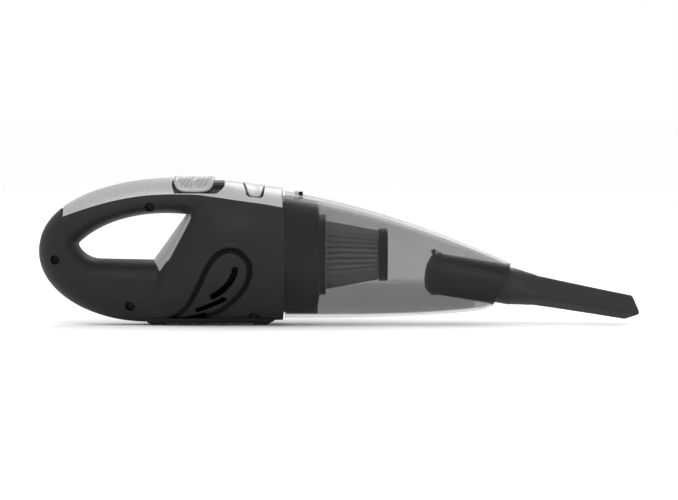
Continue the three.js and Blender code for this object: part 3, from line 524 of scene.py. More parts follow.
def bright_steel(c):
    """Zinc-plated steel, drawn: grey metal with fine lines along its length."""
    tree, shader = new_finish("steel_zinc_plated", linear("#b4b4b2"), 0.28, Metallic=1.0)
    coords = add_node(tree, "ShaderNodeTexCoord").outputs["Object"]
    stretch = add_node(tree, "ShaderNodeMapping", {"Vector": coords}, Scale=(0.06, 1.0, 1.0))
    lines = add_node(tree, "ShaderNodeTexNoise", {"Vector": stretch.outputs[0]}, Scale=1 / (0.5 * MM),
                     Detail=2.0)
    rough = add_node(tree, "ShaderNodeMapRange", {"Value": lines.outputs["Fac"]}, To_Min=0.2, To_Max=0.42)
    tree.links.new(rough.outputs["Result"], shader.inputs["Roughness"])


CAD_FINISHES = {  # the record's slot: its finish
    "shell_black": "abs_black_spark_eroded", "silver_plastic": "abs_silver_lacquered",
    "black_plastic": "abs_black_semi_gloss", "smoked_clear": "polycarbonate_smoked_polished",
    "rubber": "nitrile_rubber_matt", "paper": "filter_paper_creped", "steel": "steel_zinc_plated",
    "lens": "acrylic_clear_lens", "cell": "pvc_shrink_sleeve", "board": "fibreglass_solder_mask",
    "tool_plastic": "polypropylene_black_satin",
}


class VACUUM_OT_finishes(bpy.types.Operator):
    """Makes every finish and gives each carried-over node its own"""

    bl_idname = "vacuum.finishes"
    bl_label = "Finishes"

    def execute(self, context):
        c = context.scene.vacuum_colours
        for make in (moulded_housing, silver_lacquer, smoked_clear, plain_mouldings, bright_steel):
            make(c)
        slots = {s["node"]: s["material_slot"] for s in frame["record"]["subparts"]}
        for name, node in frame["nodes"].items():
            dark = name.startswith("housing_screw")
            finish = bpy.data.materials["steel_black_oxide" if dark else CAD_FINISHES[slots[name]]]
            for place_in in node.material_slots:
                place_in.material = finish
        return {"FINISHED"}


# ---------------------------------------------------------------- housing shells
def joint_x(z, shift=0.0):
    """The joint face bows forwards: 1.3 mm ahead at the axis, falling off as a parabola."""
    t = (z - AXIS_Z) / 52
    return shift + 1.3 - 2.8 * t * t


def offset_line(line, inset):
    """Moves an open line sideways to its right, which is inwards, by an inset for each point."""
    along = np.gradient(line, axis=0)
    along /= np.maximum(np.hypot(*along.T), 1e-9)[:, None]
    return line + np.column_stack([-along[:, 1], along[:, 0]]) * np.reshape(inset, (-1, 1))


def panel_side(p):
    """Signed distance above the panel's lower edge, negative below it or behind its rear end."""
    d = distance(PANEL_EDGE, p)
    edge_z = np.interp(p[..., 0], PANEL_EDGE[:, 0], PANEL_EDGE[:, 1])
    above = np.where((p[..., 1] > edge_z) & (p[..., 0] > -175.2), 1, -1)
    return d * above


def boundary(inset, columns):
    """Closed edge of the shell seen from the side: along the back, round the tail, along the
    underside and up the joint face, moved in by the inset and deeper under the top panel. From
    behind the switch forwards the shells stop just above the panel's edge and are open on top."""
    sunk = inset + (EDGE_STEP + PANEL_SEAT) * ramp(BACK[:, 0], -176.5, -174.5)
    to_rim = BACK[:, 1] - np.interp(BACK[:, 0], PANEL_EDGE[:, 0], PANEL_EDGE[:, 1]) - RIM_ABOVE
    sunk += (to_rim - sunk) * ramp(BACK[:, 0], *OPEN_FROM)
    line = np.vstack([offset_line(BACK, sunk), offset_line(UNDER, np.full(len(UNDER), inset))[1:]])
    line = line[line[:, 0] < joint_x(line[:, 1])]
    around = resample(line, int(columns * 0.8))
    count = columns - len(around)
    t = 0.5 - 0.5 * np.cos(np.linspace(0, math.pi, count + 2))[1:-1]
    z = around[-1, 1] + (around[0, 1] - around[-1, 1]) * t
    return np.vstack([around, np.column_stack([joint_x(z), z])])


def sunk_depth(p, inset):
    """How far the skin is pressed in: a groove round the vents, a sunk field inside it and the slots;
    the inner skin clears them all. Returns depth and the mask of painted shade that colours the groove and
    slots near black."""
    drop = smooth_loop(TEARDROP, 260)
    d = distance(drop, p, closed=True)
    within = inside(drop, p)
    signed = np.where(within, -d, d)
    relief = bpy.context.scene.vacuum_sizes.relief / MM
    groove = np.exp(-((signed + 0.4) / 2.2) ** 2)
    second = np.exp(-((signed - 6.0) / 1.1) ** 2) * ramp(p[..., 1], 6, 20)
    if inset:
        return SLOT_ROOM * ramp(-signed, -8, 2), np.zeros_like(d)
    depth = relief * groove + 0.45 * ramp(-signed, 0, 3) + 0.7 * second
    # Painted shade: the groove round the vents and the slots are coloured near black for the shade inside
    # them.
    shade_mask = ramp(groove, 0.1, 0.75)
    for start, bend, end, width in VENT_SLOTS:
        line = bezier([start, bend, end], 40)
        cut = ramp(width / 2 - distance(line, p), -0.35, 0.45)
        depth, shade_mask = np.maximum(depth, SLOT_DEPTH * cut), np.maximum(shade_mask, cut)
    return depth, np.clip(shade_mask, 0, 1)


def skin_points(columns, rows, inset, side):
    """One skin of a half shell: rays from the finger opening's middle, half a cosine apart between
    opening and edge, each lifted to the half thickness there."""
    edge = boundary(inset, columns)
    loop = OPENING if not inset else offset_line(OPENING, np.full(len(OPENING), -inset))
    angle = np.unwrap(np.arctan2(*(edge - HOLE_CENTRE).T[::-1]))
    about = np.arctan2(*(loop - HOLE_CENTRE).T[::-1])
    order = np.argsort(about)
    turn = 2 * math.pi
    reach = np.interp((angle + math.pi) % turn - math.pi,
                      np.concatenate([about[order] - turn, about[order], about[order] + turn]),
                      np.tile(np.hypot(*(loop[order] - HOLE_CENTRE).T), 3))
    start = HOLE_CENTRE + reach[:, None] * np.column_stack([np.cos(angle), np.sin(angle)])
    v = (1 - np.cos(np.pi * np.linspace(0, 1, rows))) / 2
    p = start[None] + (edge - start)[None] * v[:, None, None]
    above = panel_side(p)
    local = inset + EDGE_STEP * ramp(above, -1.3, -0.1) + PANEL_SEAT * ramp(above, 0, 1)
    thick = half_thickness(p, local)
    depth, shade_mask = sunk_depth(p, inset)
    y = np.maximum(thick - depth, GAP)
    for x, z in SCREW_SEATS if side < 0 else ():
        away = np.hypot(p[..., 0] - x, p[..., 1] - z)
        cut = ramp(SCREW_RADIUS + 2 * inset - away, 0, 0.6 + inset)
        floor = SCREW_FLOOR - inset
        y = np.where(y > floor, y + (floor - y) * cut, y)
        # painted shade in the screw recesses, at 0.6 of full
        shade_mask = np.maximum(shade_mask, cut * 0.6)
    y[0], x = GAP, p[..., 0].copy()
    jack = ramp(JACK_RADIUS - np.hypot(y, p[..., 1] - JACK_Z), 0, 0.5) * (x < -170)
    # Painted shade: the charging hole, the thin edge where the shells meet and the groove along the panel's
    # lower edge are coloured near black.
    shade_mask = np.maximum(np.maximum(shade_mask, jack), 0.8 * ramp(0.6 - y, 0, 0.3) * (thick < 1))
    shade_mask = np.maximum(shade_mask, 0.9 * np.exp(-((above + 0.1) / 0.45) ** 2))
    return place(x + (JACK_DEPTH + inset) * jack, side * y, p[..., 1]), shade_mask


class VACUUM_OT_housing_shells(bpy.types.Operator):
    """Left and right moulded shells with vents, screw recesses and charging hole"""

    bl_idname = "vacuum.housing_shells"
    bl_label = "Housing shells"

    def execute(self, context):
        s = context.scene.vacuum_sizes
        for name, node, side in (("shell_left", "housing_left", 1), ("shell_right", "housing_right", -1)):
            outer, shade_mask = skin_points(s.shell_columns, s.shell_rows, 0.0, side)
            inner, inner_shade_mask = skin_points(s.shell_columns, s.shell_rows // 5, s.wall / MM, side)
            points = np.vstack([outer, inner[::-1]])
            # painted shade mask on the outer skin; none on the inner skin
            shade_masks = {"recess_shade": np.vstack([shade_mask, np.zeros_like(inner_shade_mask)])}
            mesh = grid_mesh(name, points, close_rows=True, shade_masks=shade_masks)
            add_piece(mesh, "housing", "shell_black", (node,), 55)
        return {"FINISHED"}


class VACUUM_OT_foot(bpy.types.Operator):
    """Flat foot under the motor housing, in one piece with the shells"""

    bl_idname = "vacuum.foot"
    bl_label = "Foot"

    def execute(self, context):
        """Half superellipses hung from the height `top`, as wide as the housing there, whose depth
        grows and shrinks by a smooth step at either end."""
        x = np.linspace(-112.7, -4.0, 120)[:, None]
        top, base = 5.4, 0.8
        wide = half_thickness(np.concatenate([x, 0 * x + top], 1), 0.15)[:, None]
        rise = np.maximum(1 - ramp(x, -112.7, -106.5), ramp(x, -13, -4.0))
        low = base + (top - 0.4 - base) * rise
        a = np.linspace(0, math.pi, 60)
        y = wide * np.sign(np.cos(a)) * np.abs(np.cos(a)) ** 0.62
        z = top + (low - top) * np.sin(a) ** 0.62
        mesh = grid_mesh("housing_foot", place(x + 0 * a, y, z), caps=("first", "last"),
                         shade_masks={"recess_shade": np.zeros(y.shape)})
        add_piece(mesh, "housing", "shell_black")
        return {"FINISHED"}


# ---------------------------------------------------------------- back: panel, switch and button
def back_surface(s, turn, inset):
    """The back as a quarter ellipse carried round its outline: from the point s along the outline,
    down its normal by R(1 - cos turn) and out to the side by the half width times sin turn."""
    k = np.arange(len(BACK))
    along = np.gradient(BACK, axis=0)
    normal = np.column_stack([along[:, 1], -along[:, 0]]) / np.hypot(*along.T)[:, None]
    at, out = (np.stack([np.interp(s, k, a[:, i]) for i in (0, 1)], -1) for a in (BACK, normal))
    full, outer = widths(at)
    for _ in range(3):
        drop = inset + (outer - inset) * (1 - np.cos(turn))
        p = at - out * drop[..., None]
        full, outer = widths(p)
    return p, (full - inset) * np.sin(turn)


def back_at(x, turn, inset):
    """Points of the back with a given x: starts along the outline, moved until their drift is gone."""
    start = x
    for _ in range(4):
        s = np.interp(-start, -BACK[:, 0], np.arange(len(BACK)))
        p, y = back_surface(s, turn, inset)
        start = start + x - p[..., 0]
    return p, y


def edge_turn(s):
    """Turn at which the back reaches the panel's lower edge, by halving."""
    low, high = np.zeros_like(s), np.full_like(s, 1.4)
    for _ in range(30):
        middle = (low + high) / 2
        p, _ = back_surface(s, middle, np.zeros_like(s))
        over = p[..., 1] > np.interp(p[..., 0], PANEL_EDGE[:, 0], PANEL_EDGE[:, 1])
        low, high = np.where(over, middle, low), np.where(over, high, middle)
    return low


WELL_X, WELL_HALF, WELL_Y, WELL_EDGE, WELL_DEPTH = -67.8, 20.4, 26.0, 103.9, 3.4
SADDLE_Z, SADDLE_RADIUS, SADDLE_Y = 93.2, 20.6, 17.6  # saddle under the switch, and where it turns level
BUTTON_PRESS, BUTTON_GAP, BUTTON_THICK, POCKET_WALL = 4.5, 0.7, 2.4, 2.4
COIL_RADIUS, WIRE_RADIUS, COIL_LOW, COIL_HIGH, COIL_TURNS = 4.2, 0.6, 89.2, 103.3, 5
PRESS_DEPTH = 7.5  # room under the button for its own thickness and its press
BUTTON_X, BUTTON_HALF, BUTTON_Y = -24.2, 8.7, 27.0
LENS_X, LENS_HALF, LENS_Y = -8.0, 5.3, 4.7
SWITCH_X, SWITCH_HALF, SWITCH_OUTER, SWITCH_INNER, SWITCH_LOW = -71.3, 15.9, 24.0, 20.95, 105.6
RIDGE_PITCH, RIDGE_LEAN = 3.6, 0.42


def oblong_distance(x, y, middle, half, half_y, corner):
    """Distance outside a rectangle with round corners in plan, negative inside."""
    qx, qy = np.abs(x - middle) - half + corner, np.abs(y) - half_y + corner
    return np.hypot(np.maximum(qx, 0), np.maximum(qy, 0)) + np.minimum(np.maximum(qx, qy), 0) - corner


def button_distance(x, y, grow=0.0):
    """The release button in plan: its ends narrow and lean back a little."""
    share = np.clip(np.abs(y) / BUTTON_Y, 0, 1)
    return oblong_distance(x - 1.0 * share, y, BUTTON_X, BUTTON_HALF - 3.2 * share + grow,
                           BUTTON_Y + 2 * grow, 3.0)


def pocket_depth(p, y, grow):
    """How far the panel is pressed straight down: under the switch to a saddle that it slides over,
    under the button as deep as its press, and under the window."""
    x, z = p[..., 0], p[..., 1]
    saddle = SADDLE_Z + np.sqrt(SADDLE_RADIUS ** 2 - np.minimum(np.abs(y), SADDLE_Y) ** 2)
    well = oblong_distance(x, y, WELL_X, WELL_HALF, WELL_Y, 12) + 60 * (z < WELL_EDGE)
    lens = oblong_distance(x, y, LENS_X, LENS_HALF, LENS_Y, 2)
    pockets = ((well, np.maximum(WELL_DEPTH, z - saddle)), (button_distance(x, y, BUTTON_GAP), PRESS_DEPTH),
               (lens, WELL_DEPTH))
    return np.maximum.reduce([depth * ramp(grow - away, -0.35, 0.45) for away, depth in pockets])


class VACUUM_OT_top_panel(bpy.types.Operator):
    """Silver panel over the back, with its well, button opening and window"""

    bl_idname = "vacuum.top_panel"
    bl_label = "Top panel"

    def execute(self, context):
        """The back's own surface between its edges, pressed down at the pockets, over a second one
        its thickness below it."""
        rows, columns = 330, 148
        t = np.sin(np.linspace(-1, 1, columns) * math.pi / 2 * 0.96) / math.sin(math.pi / 2 * 0.96)
        k = np.arange(len(BACK), dtype=float)
        first = np.interp(1.0, -BACK[:, 0], k)
        last, corner = np.interp(175.0, -BACK[:, 0], k), np.interp(178.6, -BACK[:, 0], k)
        start = first - 5.0 * t ** 2 + 2.0
        end = last + (corner - last) * t ** 2
        finer_front = np.interp(np.linspace(0, 1, rows), (0, 0.61, 1), (0, 0.5, 1))
        s = start + (end - start) * finer_front[:, None]
        turn = edge_turn(s) * t
        flat, y = back_surface(s, turn, np.zeros_like(s))
        rim = np.minimum.reduce([(1 - np.abs(t)) * 30 + 0 * s, (s - start) * 0.5, (end - s) * 0.5])
        lip = 0.55 * (1 - rounded(rim / 0.6))
        outer, y_out = back_surface(s, turn, np.zeros_like(s) + lip)
        under, y_in = back_surface(s, turn, PANEL_WALL + 0 * s)
        pressed = pocket_depth(flat, y, 0.0)
        z_out, z_in = outer[..., 1] - pressed, under[..., 1] - pocket_depth(flat, y, POCKET_WALL)
        limit = joint_x(outer[..., 1], -0.2)
        x_out = np.minimum(outer[..., 0], limit)
        x_in = np.minimum(under[..., 0], limit)
        top, low = place(x_out, y_out, z_out), place(x_in, y_in, z_in)
        ring_of = lambda a, b: np.concatenate([a, b[:, ::-1]], axis=1)
        points = ring_of(top, low)
        # Painted shade: the panel's pressed pockets fade to near black, and its whole underside is near
        # black.
        shade_masks = {"recess_shade": ring_of(ramp(pressed, 0.2, 1.6), np.ones_like(y))}
        mesh = grid_mesh("top_panel_lacquered", points, caps=("first", "last"), shade_masks=shade_masks)
        add_piece(mesh, "housing", "silver_plastic", ("top_panel",), 45)
        return {"FINISHED"}


def squircle(rows, columns, power):
    """Polar grid that fills a rounded oblong: rings from the middle out, as cos and sin raised to a
    power. Returns ring share, and the across and along shares."""
    share = np.sin(np.linspace(0, math.pi / 2, rows))[1:, None]
    a = np.linspace(0, 2 * math.pi, columns, endpoint=False)
    shape = lambda c: np.sign(c) * np.abs(c) ** power
    return share, share * shape(np.cos(a)), share * shape(np.sin(a))


class VACUUM_OT_controls(bpy.types.Operator):
    """Sliding power switch with slanting ridges, and the cup's release button"""

    bl_idname = "vacuum.controls"
    bl_label = "Switch and button"

    def execute(self, context):
        """Switch: a rounded oblong bent round a cylinder, with a slanted cosine wave as ridges.
        Button: a rounded oblong laid on the back, dished along its middle."""
        ridge = context.scene.vacuum_sizes.ridge / MM
        share, along, across = squircle(90, 200, 0.5)
        beside = SWITCH_HALF * along
        turn = math.acos((SWITCH_LOW - SADDLE_Z) / SWITCH_OUTER) * across
        slant = beside + RIDGE_LEAN * SWITCH_OUTER * np.abs(turn)
        wave = 0.5 - 0.5 * np.cos(2 * math.pi * slant / RIDGE_PITCH)
        field = ramp(0.9 - share, 0, 0.12) * ramp(np.abs(beside), 0.2, 1.4)
        radius = SWITCH_OUTER - ridge * wave * field - 1.2 * (1 - rounded((1 - share) / 0.09))
        top, low = (place(SWITCH_X + beside, r * np.sin(turn), SADDLE_Z + r * np.cos(turn))
                    for r in (radius, SWITCH_INNER))
        # Painted shade in the valleys between the switch's ridges.
        shade_masks = {"recess_shade": np.vstack([0.3 * wave * field, 0 * wave])}
        points = np.vstack([top, low[::-1]])
        mesh = grid_mesh("switch_slider", points, caps=("first", "last"), shade_masks=shade_masks)
        add_piece(mesh, "power_switch", "silver_plastic", ("power_switch",), 60)
        share, along, across = squircle(40, 200, 0.36)
        y = 26.8 * across
        lean = np.abs(across)
        x = BUTTON_X + 1.0 * lean + (8.5 - 3.1 * lean) * along
        full, _ = widths(np.stack([x, 0 * x + 108.0], -1))
        turn = np.arcsin(np.clip(y / (full + 0.6), -1, 1))
        proud = -0.55 + 0.9 * (1 - rounded((1 - share) / 0.08)) + 0.5 * np.exp(-(along / 0.5) ** 2)
        up, y_up = back_at(x, turn, proud)
        down, y_down = back_at(x, turn, BUTTON_THICK + 0 * x)
        top, low = place(up[..., 0], y_up, up[..., 1]), place(down[..., 0], y_down, down[..., 1])
        points = np.vstack([top, low[::-1]])
        mesh = grid_mesh("cup_release_button", points, caps=("first", "last"),
                         shade_masks={"recess_shade": np.zeros(points.shape[:2])})
        add_piece(mesh, "release_button", "silver_plastic", ("release_button",), 60)
        return {"FINISHED"}


class VACUUM_OT_latch_spring(bpy.types.Operator):
    """Coil spring under the release button, made at one length; the real one shortens as the button goes down
    """

    bl_idname = "vacuum.latch_spring"
    bl_label = "Latch spring"

    def execute(self, context):
        """A circle of the wire's radius carried round a helix."""
        t = np.linspace(0, 1, 260)[:, None]
        ring = np.linspace(0, 2 * math.pi, 12, endpoint=False)
        r = COIL_RADIUS + WIRE_RADIUS * np.cos(ring)
        z = COIL_LOW + (COIL_HIGH - COIL_LOW) * t + WIRE_RADIUS * np.sin(ring)
        a = 2 * math.pi * COIL_TURNS * t
        mesh = grid_mesh("button_spring", place(BUTTON_X + r * np.cos(a), r * np.sin(a), z),
                         caps=("first", "last"))
        spring = add_piece(mesh, "housing", "steel", ("latch_spring",), 60)
        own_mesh(spring)
        return {"FINISHED"}


class VACUUM_OT_grip(bpy.types.Operator):
    """Silver insert on the slanted front of the finger opening"""

    bl_idname = "vacuum.grip"
    bl_label = "Grip insert"

    def execute(self, context):
        """Parabolas across, between two slanted lines: one through the crest and one at the sides."""
        z = np.linspace(43, 87.5, 90)[:, None]
        t = np.linspace(-1, 1, 60)
        on = lambda low, high: low[0] + (high[0] - low[0]) * (z - low[1]) / (high[1] - low[1])
        crest, edge = on(GRIP_LOW, GRIP_HIGH), on(SLOPE_LOW, SLOPE_HIGH)
        front = crest + (edge - crest) * t ** 2
        y = GRIP_HALF * t + 0 * z
        up = z + 0 * t
        points = np.concatenate([place(front, y, up), place(edge + 3.5 + 0 * t, y, up)[:, ::-1]], axis=1)
        mesh = grid_mesh("grip_insert", points, caps=("first", "last"),
                         shade_masks={"recess_shade": np.zeros(points.shape[:2])})
        add_piece(mesh, "housing", "silver_plastic", ("grip_trim",), 40)
        return {"FINISHED"}


# ---------------------------------------------------------------- dust cup, inlet and filter
CUP_TOP_Z, CUP_SLOPE, CUP_CURVE = 105.5, 0.18, 0.00078  # its top line falls along a parabola
CUP_LOW_Z, CUP_LIFT, CUP_REACH = 5.1, 7.3, 165  # and its keel rises along a power of the distance


def cup_ring(u, inset, turn):
    """A leaning ellipse of the cup at share u from the joint to the mouth."""
    top_x, bottom_x = MOUTH_TOP[0] * u, MOUTH_BOTTOM[0] * u
    lip = 2.2 * np.clip((u - 0.93) / 0.07, 0, 1) ** 2
    top_z = CUP_TOP_Z - CUP_SLOPE * top_x - CUP_CURVE * top_x * np.abs(top_x)
    bottom_z = CUP_LOW_Z + CUP_LIFT * np.maximum(bottom_x / CUP_REACH, 0) ** 3.4 + lip
    half = np.hypot(top_x - bottom_x, top_z - bottom_z) / 2
    rise = np.sin(turn) / 2 * (half - inset) / half
    return ((top_x + bottom_x) / 2 + (top_x - bottom_x) * rise, (0.966 * half - inset) * np.cos(turn),
            (top_z + bottom_z) / 2 + (top_z - bottom_z) * rise)


# painted shade sheet: share of the cup it spans, how far in it sits and its top height
SHADE_SHEET_SPAN, SHADE_SHEET_INSET, SHADE_SHEET_TOP = (0.16, 0.9), 2.7, 33.7


class VACUUM_OT_dust_cup(bpy.types.Operator):
    """Smoked dust cup, open towards the housing and round the inlet"""

    bl_idname = "vacuum.dust_cup"
    bl_label = "Dust cup"

    def execute(self, context):
        """Leaning ellipses from the joint to the mouth, then in to a round hole, and back as the
        inner wall."""
        wall = context.scene.vacuum_sizes.wall / MM
        turn = np.linspace(0, 2 * math.pi, 220, endpoint=False)
        u = np.concatenate([np.linspace(0.0, 0.93, 90), np.linspace(0.935, 1.0, 16)])[:, None]
        x, y, z = cup_ring(u, 0.0, turn)
        x_in, y_in, z_in = cup_ring(u * 0.975, wall, turn)
        x, x_in = (np.maximum(a, joint_x(b, CUP_START)) for a, b in ((x, z), (x_in, z_in)))
        hole_y, hole_z = MOUTH_HOLE * np.cos(turn), MOUTH_HOLE * np.sin(turn)
        shift = mouth_shift(hole_z)
        hole = place(MOUTH[0] + hole_z * math.sin(NOZZLE_TILT) + shift, hole_y,
                     MOUTH[1] + hole_z * math.cos(NOZZLE_TILT) - shift * math.tan(NOZZLE_TILT))
        back = hole - np.array([3.5, 0, -0.6]) * MM
        points = np.vstack([place(x, y, z), hole[None], back[None], place(x_in, y_in, z_in)[::-1]])
        mesh = grid_mesh("dust_cup_smoked", points, close_rows=True)
        add_piece(mesh, "cup", "smoked_clear", ("dust_cup",), 35)
        return {"FINISHED"}


class VACUUM_OT_lower_cup_shade_sheet(bpy.types.Operator):
    """Painted shade: a faint smoked sheet inside the lower part of the dust cup, there only to make it darker
    """

    bl_idname = "vacuum.dust_tray"
    bl_label = "Lower cup shade sheet"

    def execute(self, context):
        """The cup's ellipses moved in, only the arc below a level height."""
        u = np.linspace(*SHADE_SHEET_SPAN, 70)[:, None]
        _, _, high = cup_ring(u, SHADE_SHEET_INSET, math.pi / 2)
        _, _, low = cup_ring(u, SHADE_SHEET_INSET, -math.pi / 2)
        level = np.arcsin(np.clip((2 * SHADE_SHEET_TOP - high - low) / (high - low), -1, 1))
        turn = math.pi - level + (math.pi + 2 * level) * np.linspace(0, 1, 90)
        outer, inner = (place(*cup_ring(u, SHADE_SHEET_INSET + deep, turn)) for deep in (0.0, 0.6))
        mesh = grid_mesh("dust_tray", np.concatenate([outer, inner[:, ::-1]], axis=1), caps=("first", "last"))
        add_piece(mesh, "cup", "smoked_clear", (), 35, "smoked_shade_sheet")
        return {"FINISHED"}


def mouth_shift(across):
    """How far along the nozzle's axis the slanted mouth lies, for a height above the axis."""
    lean = MOUTH_TOP - MOUTH_BOTTOM
    c, s = math.cos(NOZZLE_TILT), math.sin(NOZZLE_TILT)
    axis_part, up_part = lean[0] * c - lean[1] * s, lean[0] * s + lean[1] * c
    return across * axis_part / up_part


def nozzle_place(x, y, z):
    """Points given along the nozzle's own axis: turned down by its tilt and moved to the mouth."""
    c, s = math.cos(NOZZLE_TILT), math.sin(NOZZLE_TILT)
    return place(MOUTH[0] + x * c + z * s, y, MOUTH[1] - x * s + z * c)


class VACUUM_OT_inlet(bpy.types.Operator):
    """Black inlet duct behind the mouth"""

    bl_idname = "vacuum.inlet"
    bl_label = "Inlet duct"

    def execute(self, context):
        """A rounded profile turned about the nozzle's axis, its front end sheared to the mouth."""
        turn = np.linspace(0, 2 * math.pi, 160, endpoint=False)
        profile = soft_profile([(-54.5, 15.1), (-54.5, 17.3), (-51.3, 17.3), (-50.6, 16.3), (-3, 16.3),
                                (-1.8, 16.9), (-0.4, 16.9), (-0.2, 15.1)], 0.5, 5)
        x, r = profile[:, :1], profile[:, 1:]
        y, z = r * np.cos(turn), r * np.sin(turn)
        follow = ramp(x, -40, -3)
        mesh = grid_mesh("inlet_tube", nozzle_place(x + follow * mouth_shift(z), y, z), close_rows=True)
        add_piece(mesh, "cup", "black_plastic", ("inlet_duct",), 35)
        return {"FINISHED"}


PAPER_X, PAPER_LENGTH = 32.7, 41.0
LATCH_NOTCH = 6.8  # how deep the holder's top is let in, so that the latch hook can drop


class VACUUM_OT_filter(bpy.types.Operator):
    """Filter holder with its toothed flange, pleated paper and end cap"""

    bl_idname = "vacuum.filter"
    bl_label = "Filter"

    def execute(self, context):
        """Holder and cap: rounded profiles turned about the axis. Skirt: an open ring of the cup's
        ellipses. Paper: a circle whose radius zigzags between two cones, over a plain core."""
        outline = [(0.2, 36.4), (0.2, 41.5), (8, 41.0), (8.6, 40.2), (9.6, 40.2), (10.2, 40.8), (24, 39.6),
                   (27, 38.4), (27, 31.6), (32.4, 31.6), (32.4, 14.5), (29.5, 14.5), (29.5, 30), (24, 36.4)]
        rings = soft_profile(outline, 0.5)
        a = np.linspace(0, 2 * math.pi, 180, endpoint=False)
        x, r = rings[:, :1], rings[:, 1:]
        beside = np.abs(r * np.cos(a)) + 60 * (np.sin(a) < 0)
        r = r - LATCH_NOTCH * ramp(8.4 - beside, 0, 1.4) * (1 - ramp(x, 20, 23.5)) * ramp(r, 32, 36)
        holder = place(x + 0 * a, r * np.cos(a), AXIS_Z + r * np.sin(a))
        mesh = grid_mesh("filter_holder", holder, close_rows=True)
        add_piece(mesh, "filter", "black_plastic", ("filter_frame",), 35)
        gap = math.asin(7.0 / 45)
        a = np.linspace(math.pi / 2 + gap, 5 * math.pi / 2 - gap, 200)
        rows = []
        for x_at, inset in ((1.2, 3.1), (25.4, 3.1), (26.0, 3.6), (26.0, 5.2), (1.2, 5.2)):
            _, ring_y, ring_z = cup_ring(np.array([x_at / 172]), inset, a)
            rib = 0.25 * (0.5 + 0.5 * np.cos(a * 60)) * (inset < 3.5)
            rows.append(place(0 * a + x_at, ring_y * (1 - rib / 45), ring_z))
        skirt = np.stack(rows, axis=1)
        mesh = grid_mesh("holder_skirt", skirt, caps=("first", "last"))
        add_piece(mesh, "filter", "black_plastic", (), 35)
        cap = [(74, 0.2), (74, 20.8), (80.2, 20.8), (81.2, 19.8), (81.2, 16), (79.8, 15), (79.8, 0.2)]
        mesh = grid_mesh("filter_cap", turned(soft_profile(cap, 0.6)), caps=("first", "last"))
        add_piece(mesh, "filter", "black_plastic", ("filter_end_cap",), 35)
        folds = context.scene.vacuum_sizes.folds
        a = np.linspace(0, 2 * math.pi, folds * 8, endpoint=False)
        x = np.linspace(PAPER_X, PAPER_X + PAPER_LENGTH, 30)[:, None]
        share = (x - PAPER_X) / PAPER_LENGTH
        zigzag = np.abs((a * folds / math.pi) % 2 - 1)
        uneven = 0.5 * np.sin(3 * a + 0.7) + 0.5 * np.sin(7 * a)
        outer, inner = 27.0 - 7.6 * share, 20.5 - 5.4 * share
        r = inner + (outer - inner) * np.sqrt(zigzag) + 0.25 * uneven * zigzag
        bend = 0.012 * np.sin(5 * a + 4 * share)
        wall_in = 14.6 - 2.0 * share + 0 * a
        paper = place(x + 0 * a, r * np.cos(a + bend), AXIS_Z + r * np.sin(a + bend))
        core = place(x + 0 * a, wall_in * np.cos(a), AXIS_Z + wall_in * np.sin(a))
        mesh = grid_mesh("filter_paper", np.vstack([paper, core[::-1]]), close_rows=True)
        add_piece(mesh, "filter", "paper", ("filter_pleats",), 35)
        return {"FINISHED"}


# ---------------------------------------------------------------- crevice tool
TOOL_TURN = math.radians(38)
TOOL_RINGS = np.array([  # along the axis, half width, half height, squareness, drop
    (-27, 14.6, 14.6, 2, 0), (-26, 14.8, 14.8, 2, 0), (7.5, 14.8, 14.8, 2, 0), (9.5, 14.3, 14.3, 2, 0),
    (17, 12.9, 11.0, 2.6, 0), (27, 11.0, 8.2, 4, -0.1), (42, 10.2, 7.0, 6, -0.3), (76, 9.2, 6.3, 7, -0.8),
    (100.8, 8.8, 5.9, 7, -1.2)])


def tool_points(x, inset, columns):
    """A superellipse whose size, squareness and drop change along the axis, turned by 38 degrees."""
    wide, narrow, square, drop = (np.interp(x, TOOL_RINGS[:, 0], TOOL_RINGS[:, k])[:, None]
                                  for k in range(1, 5))
    lean = ramp(x, 85, 100.8)[:, None]
    a = np.linspace(0, 2 * math.pi, columns, endpoint=False)
    shape = lambda c: np.sign(c) * np.abs(c) ** (2 / square)
    w, n = (wide - inset) * shape(np.cos(a)), (narrow - inset) * shape(np.sin(a))
    shift = lean * (0.479 * w - 1.06 * n)
    return nozzle_place(x[:, None] + shift, -w * math.sin(TOOL_TURN) + n * math.cos(TOOL_TURN),
                        -w * math.cos(TOOL_TURN) - n * math.sin(TOOL_TURN) + drop)


class VACUUM_OT_crevice_tool(bpy.types.Operator):
    """Flat crevice tool with its round plug and slanted tip"""

    bl_idname = "vacuum.crevice_tool"
    bl_label = "Crevice tool"

    def execute(self, context):
        """Superellipses along the axis, with a groove for the sealing ring, closed at the tip and
        back again as the inner wall."""
        x = np.concatenate([np.linspace(-27, -21, 6), [-20.1, -20, -17, -16.9], np.linspace(-16, 7, 10),
                            np.linspace(7.5, 9.5, 7), np.linspace(10, 42, 44), np.linspace(44, 100.3, 36)])
        groove = np.where((x > -20.05) & (x < -16.95), 1.3, 0.0)[:, None]
        tip = np.array([100.6, 100.8])
        rings = [tool_points(x, groove, 96), tool_points(tip, np.array([[0.15], [0.5]]), 96),
                 tool_points(tip[::-1], np.array([[1.2], [1.6]]), 96), tool_points(x[::-1], 1.6, 96)]
        mesh = grid_mesh("crevice_nozzle", np.vstack(rings), close_rows=True)
        add_piece(mesh, "crevice_tool", "tool_plastic", ("crevice_tool",), 50)
        return {"FINISHED"}


# ---------------------------------------------------------------- stage
def area_light(name, place_at, size, power):
    light = bpy.data.lights.new(name, "AREA")
    light.energy, light.size, light.shape = power, size, "DISK"
    lamp = bpy.data.objects.new(name, light)
    bpy.context.scene.collection.objects.link(lamp)
    lamp.location = place_at
    aim = (-lamp.location).normalized()
    lamp.rotation_mode = "QUATERNION"
    lamp.rotation_quaternion = aim.to_track_quat("-Z", "Y")


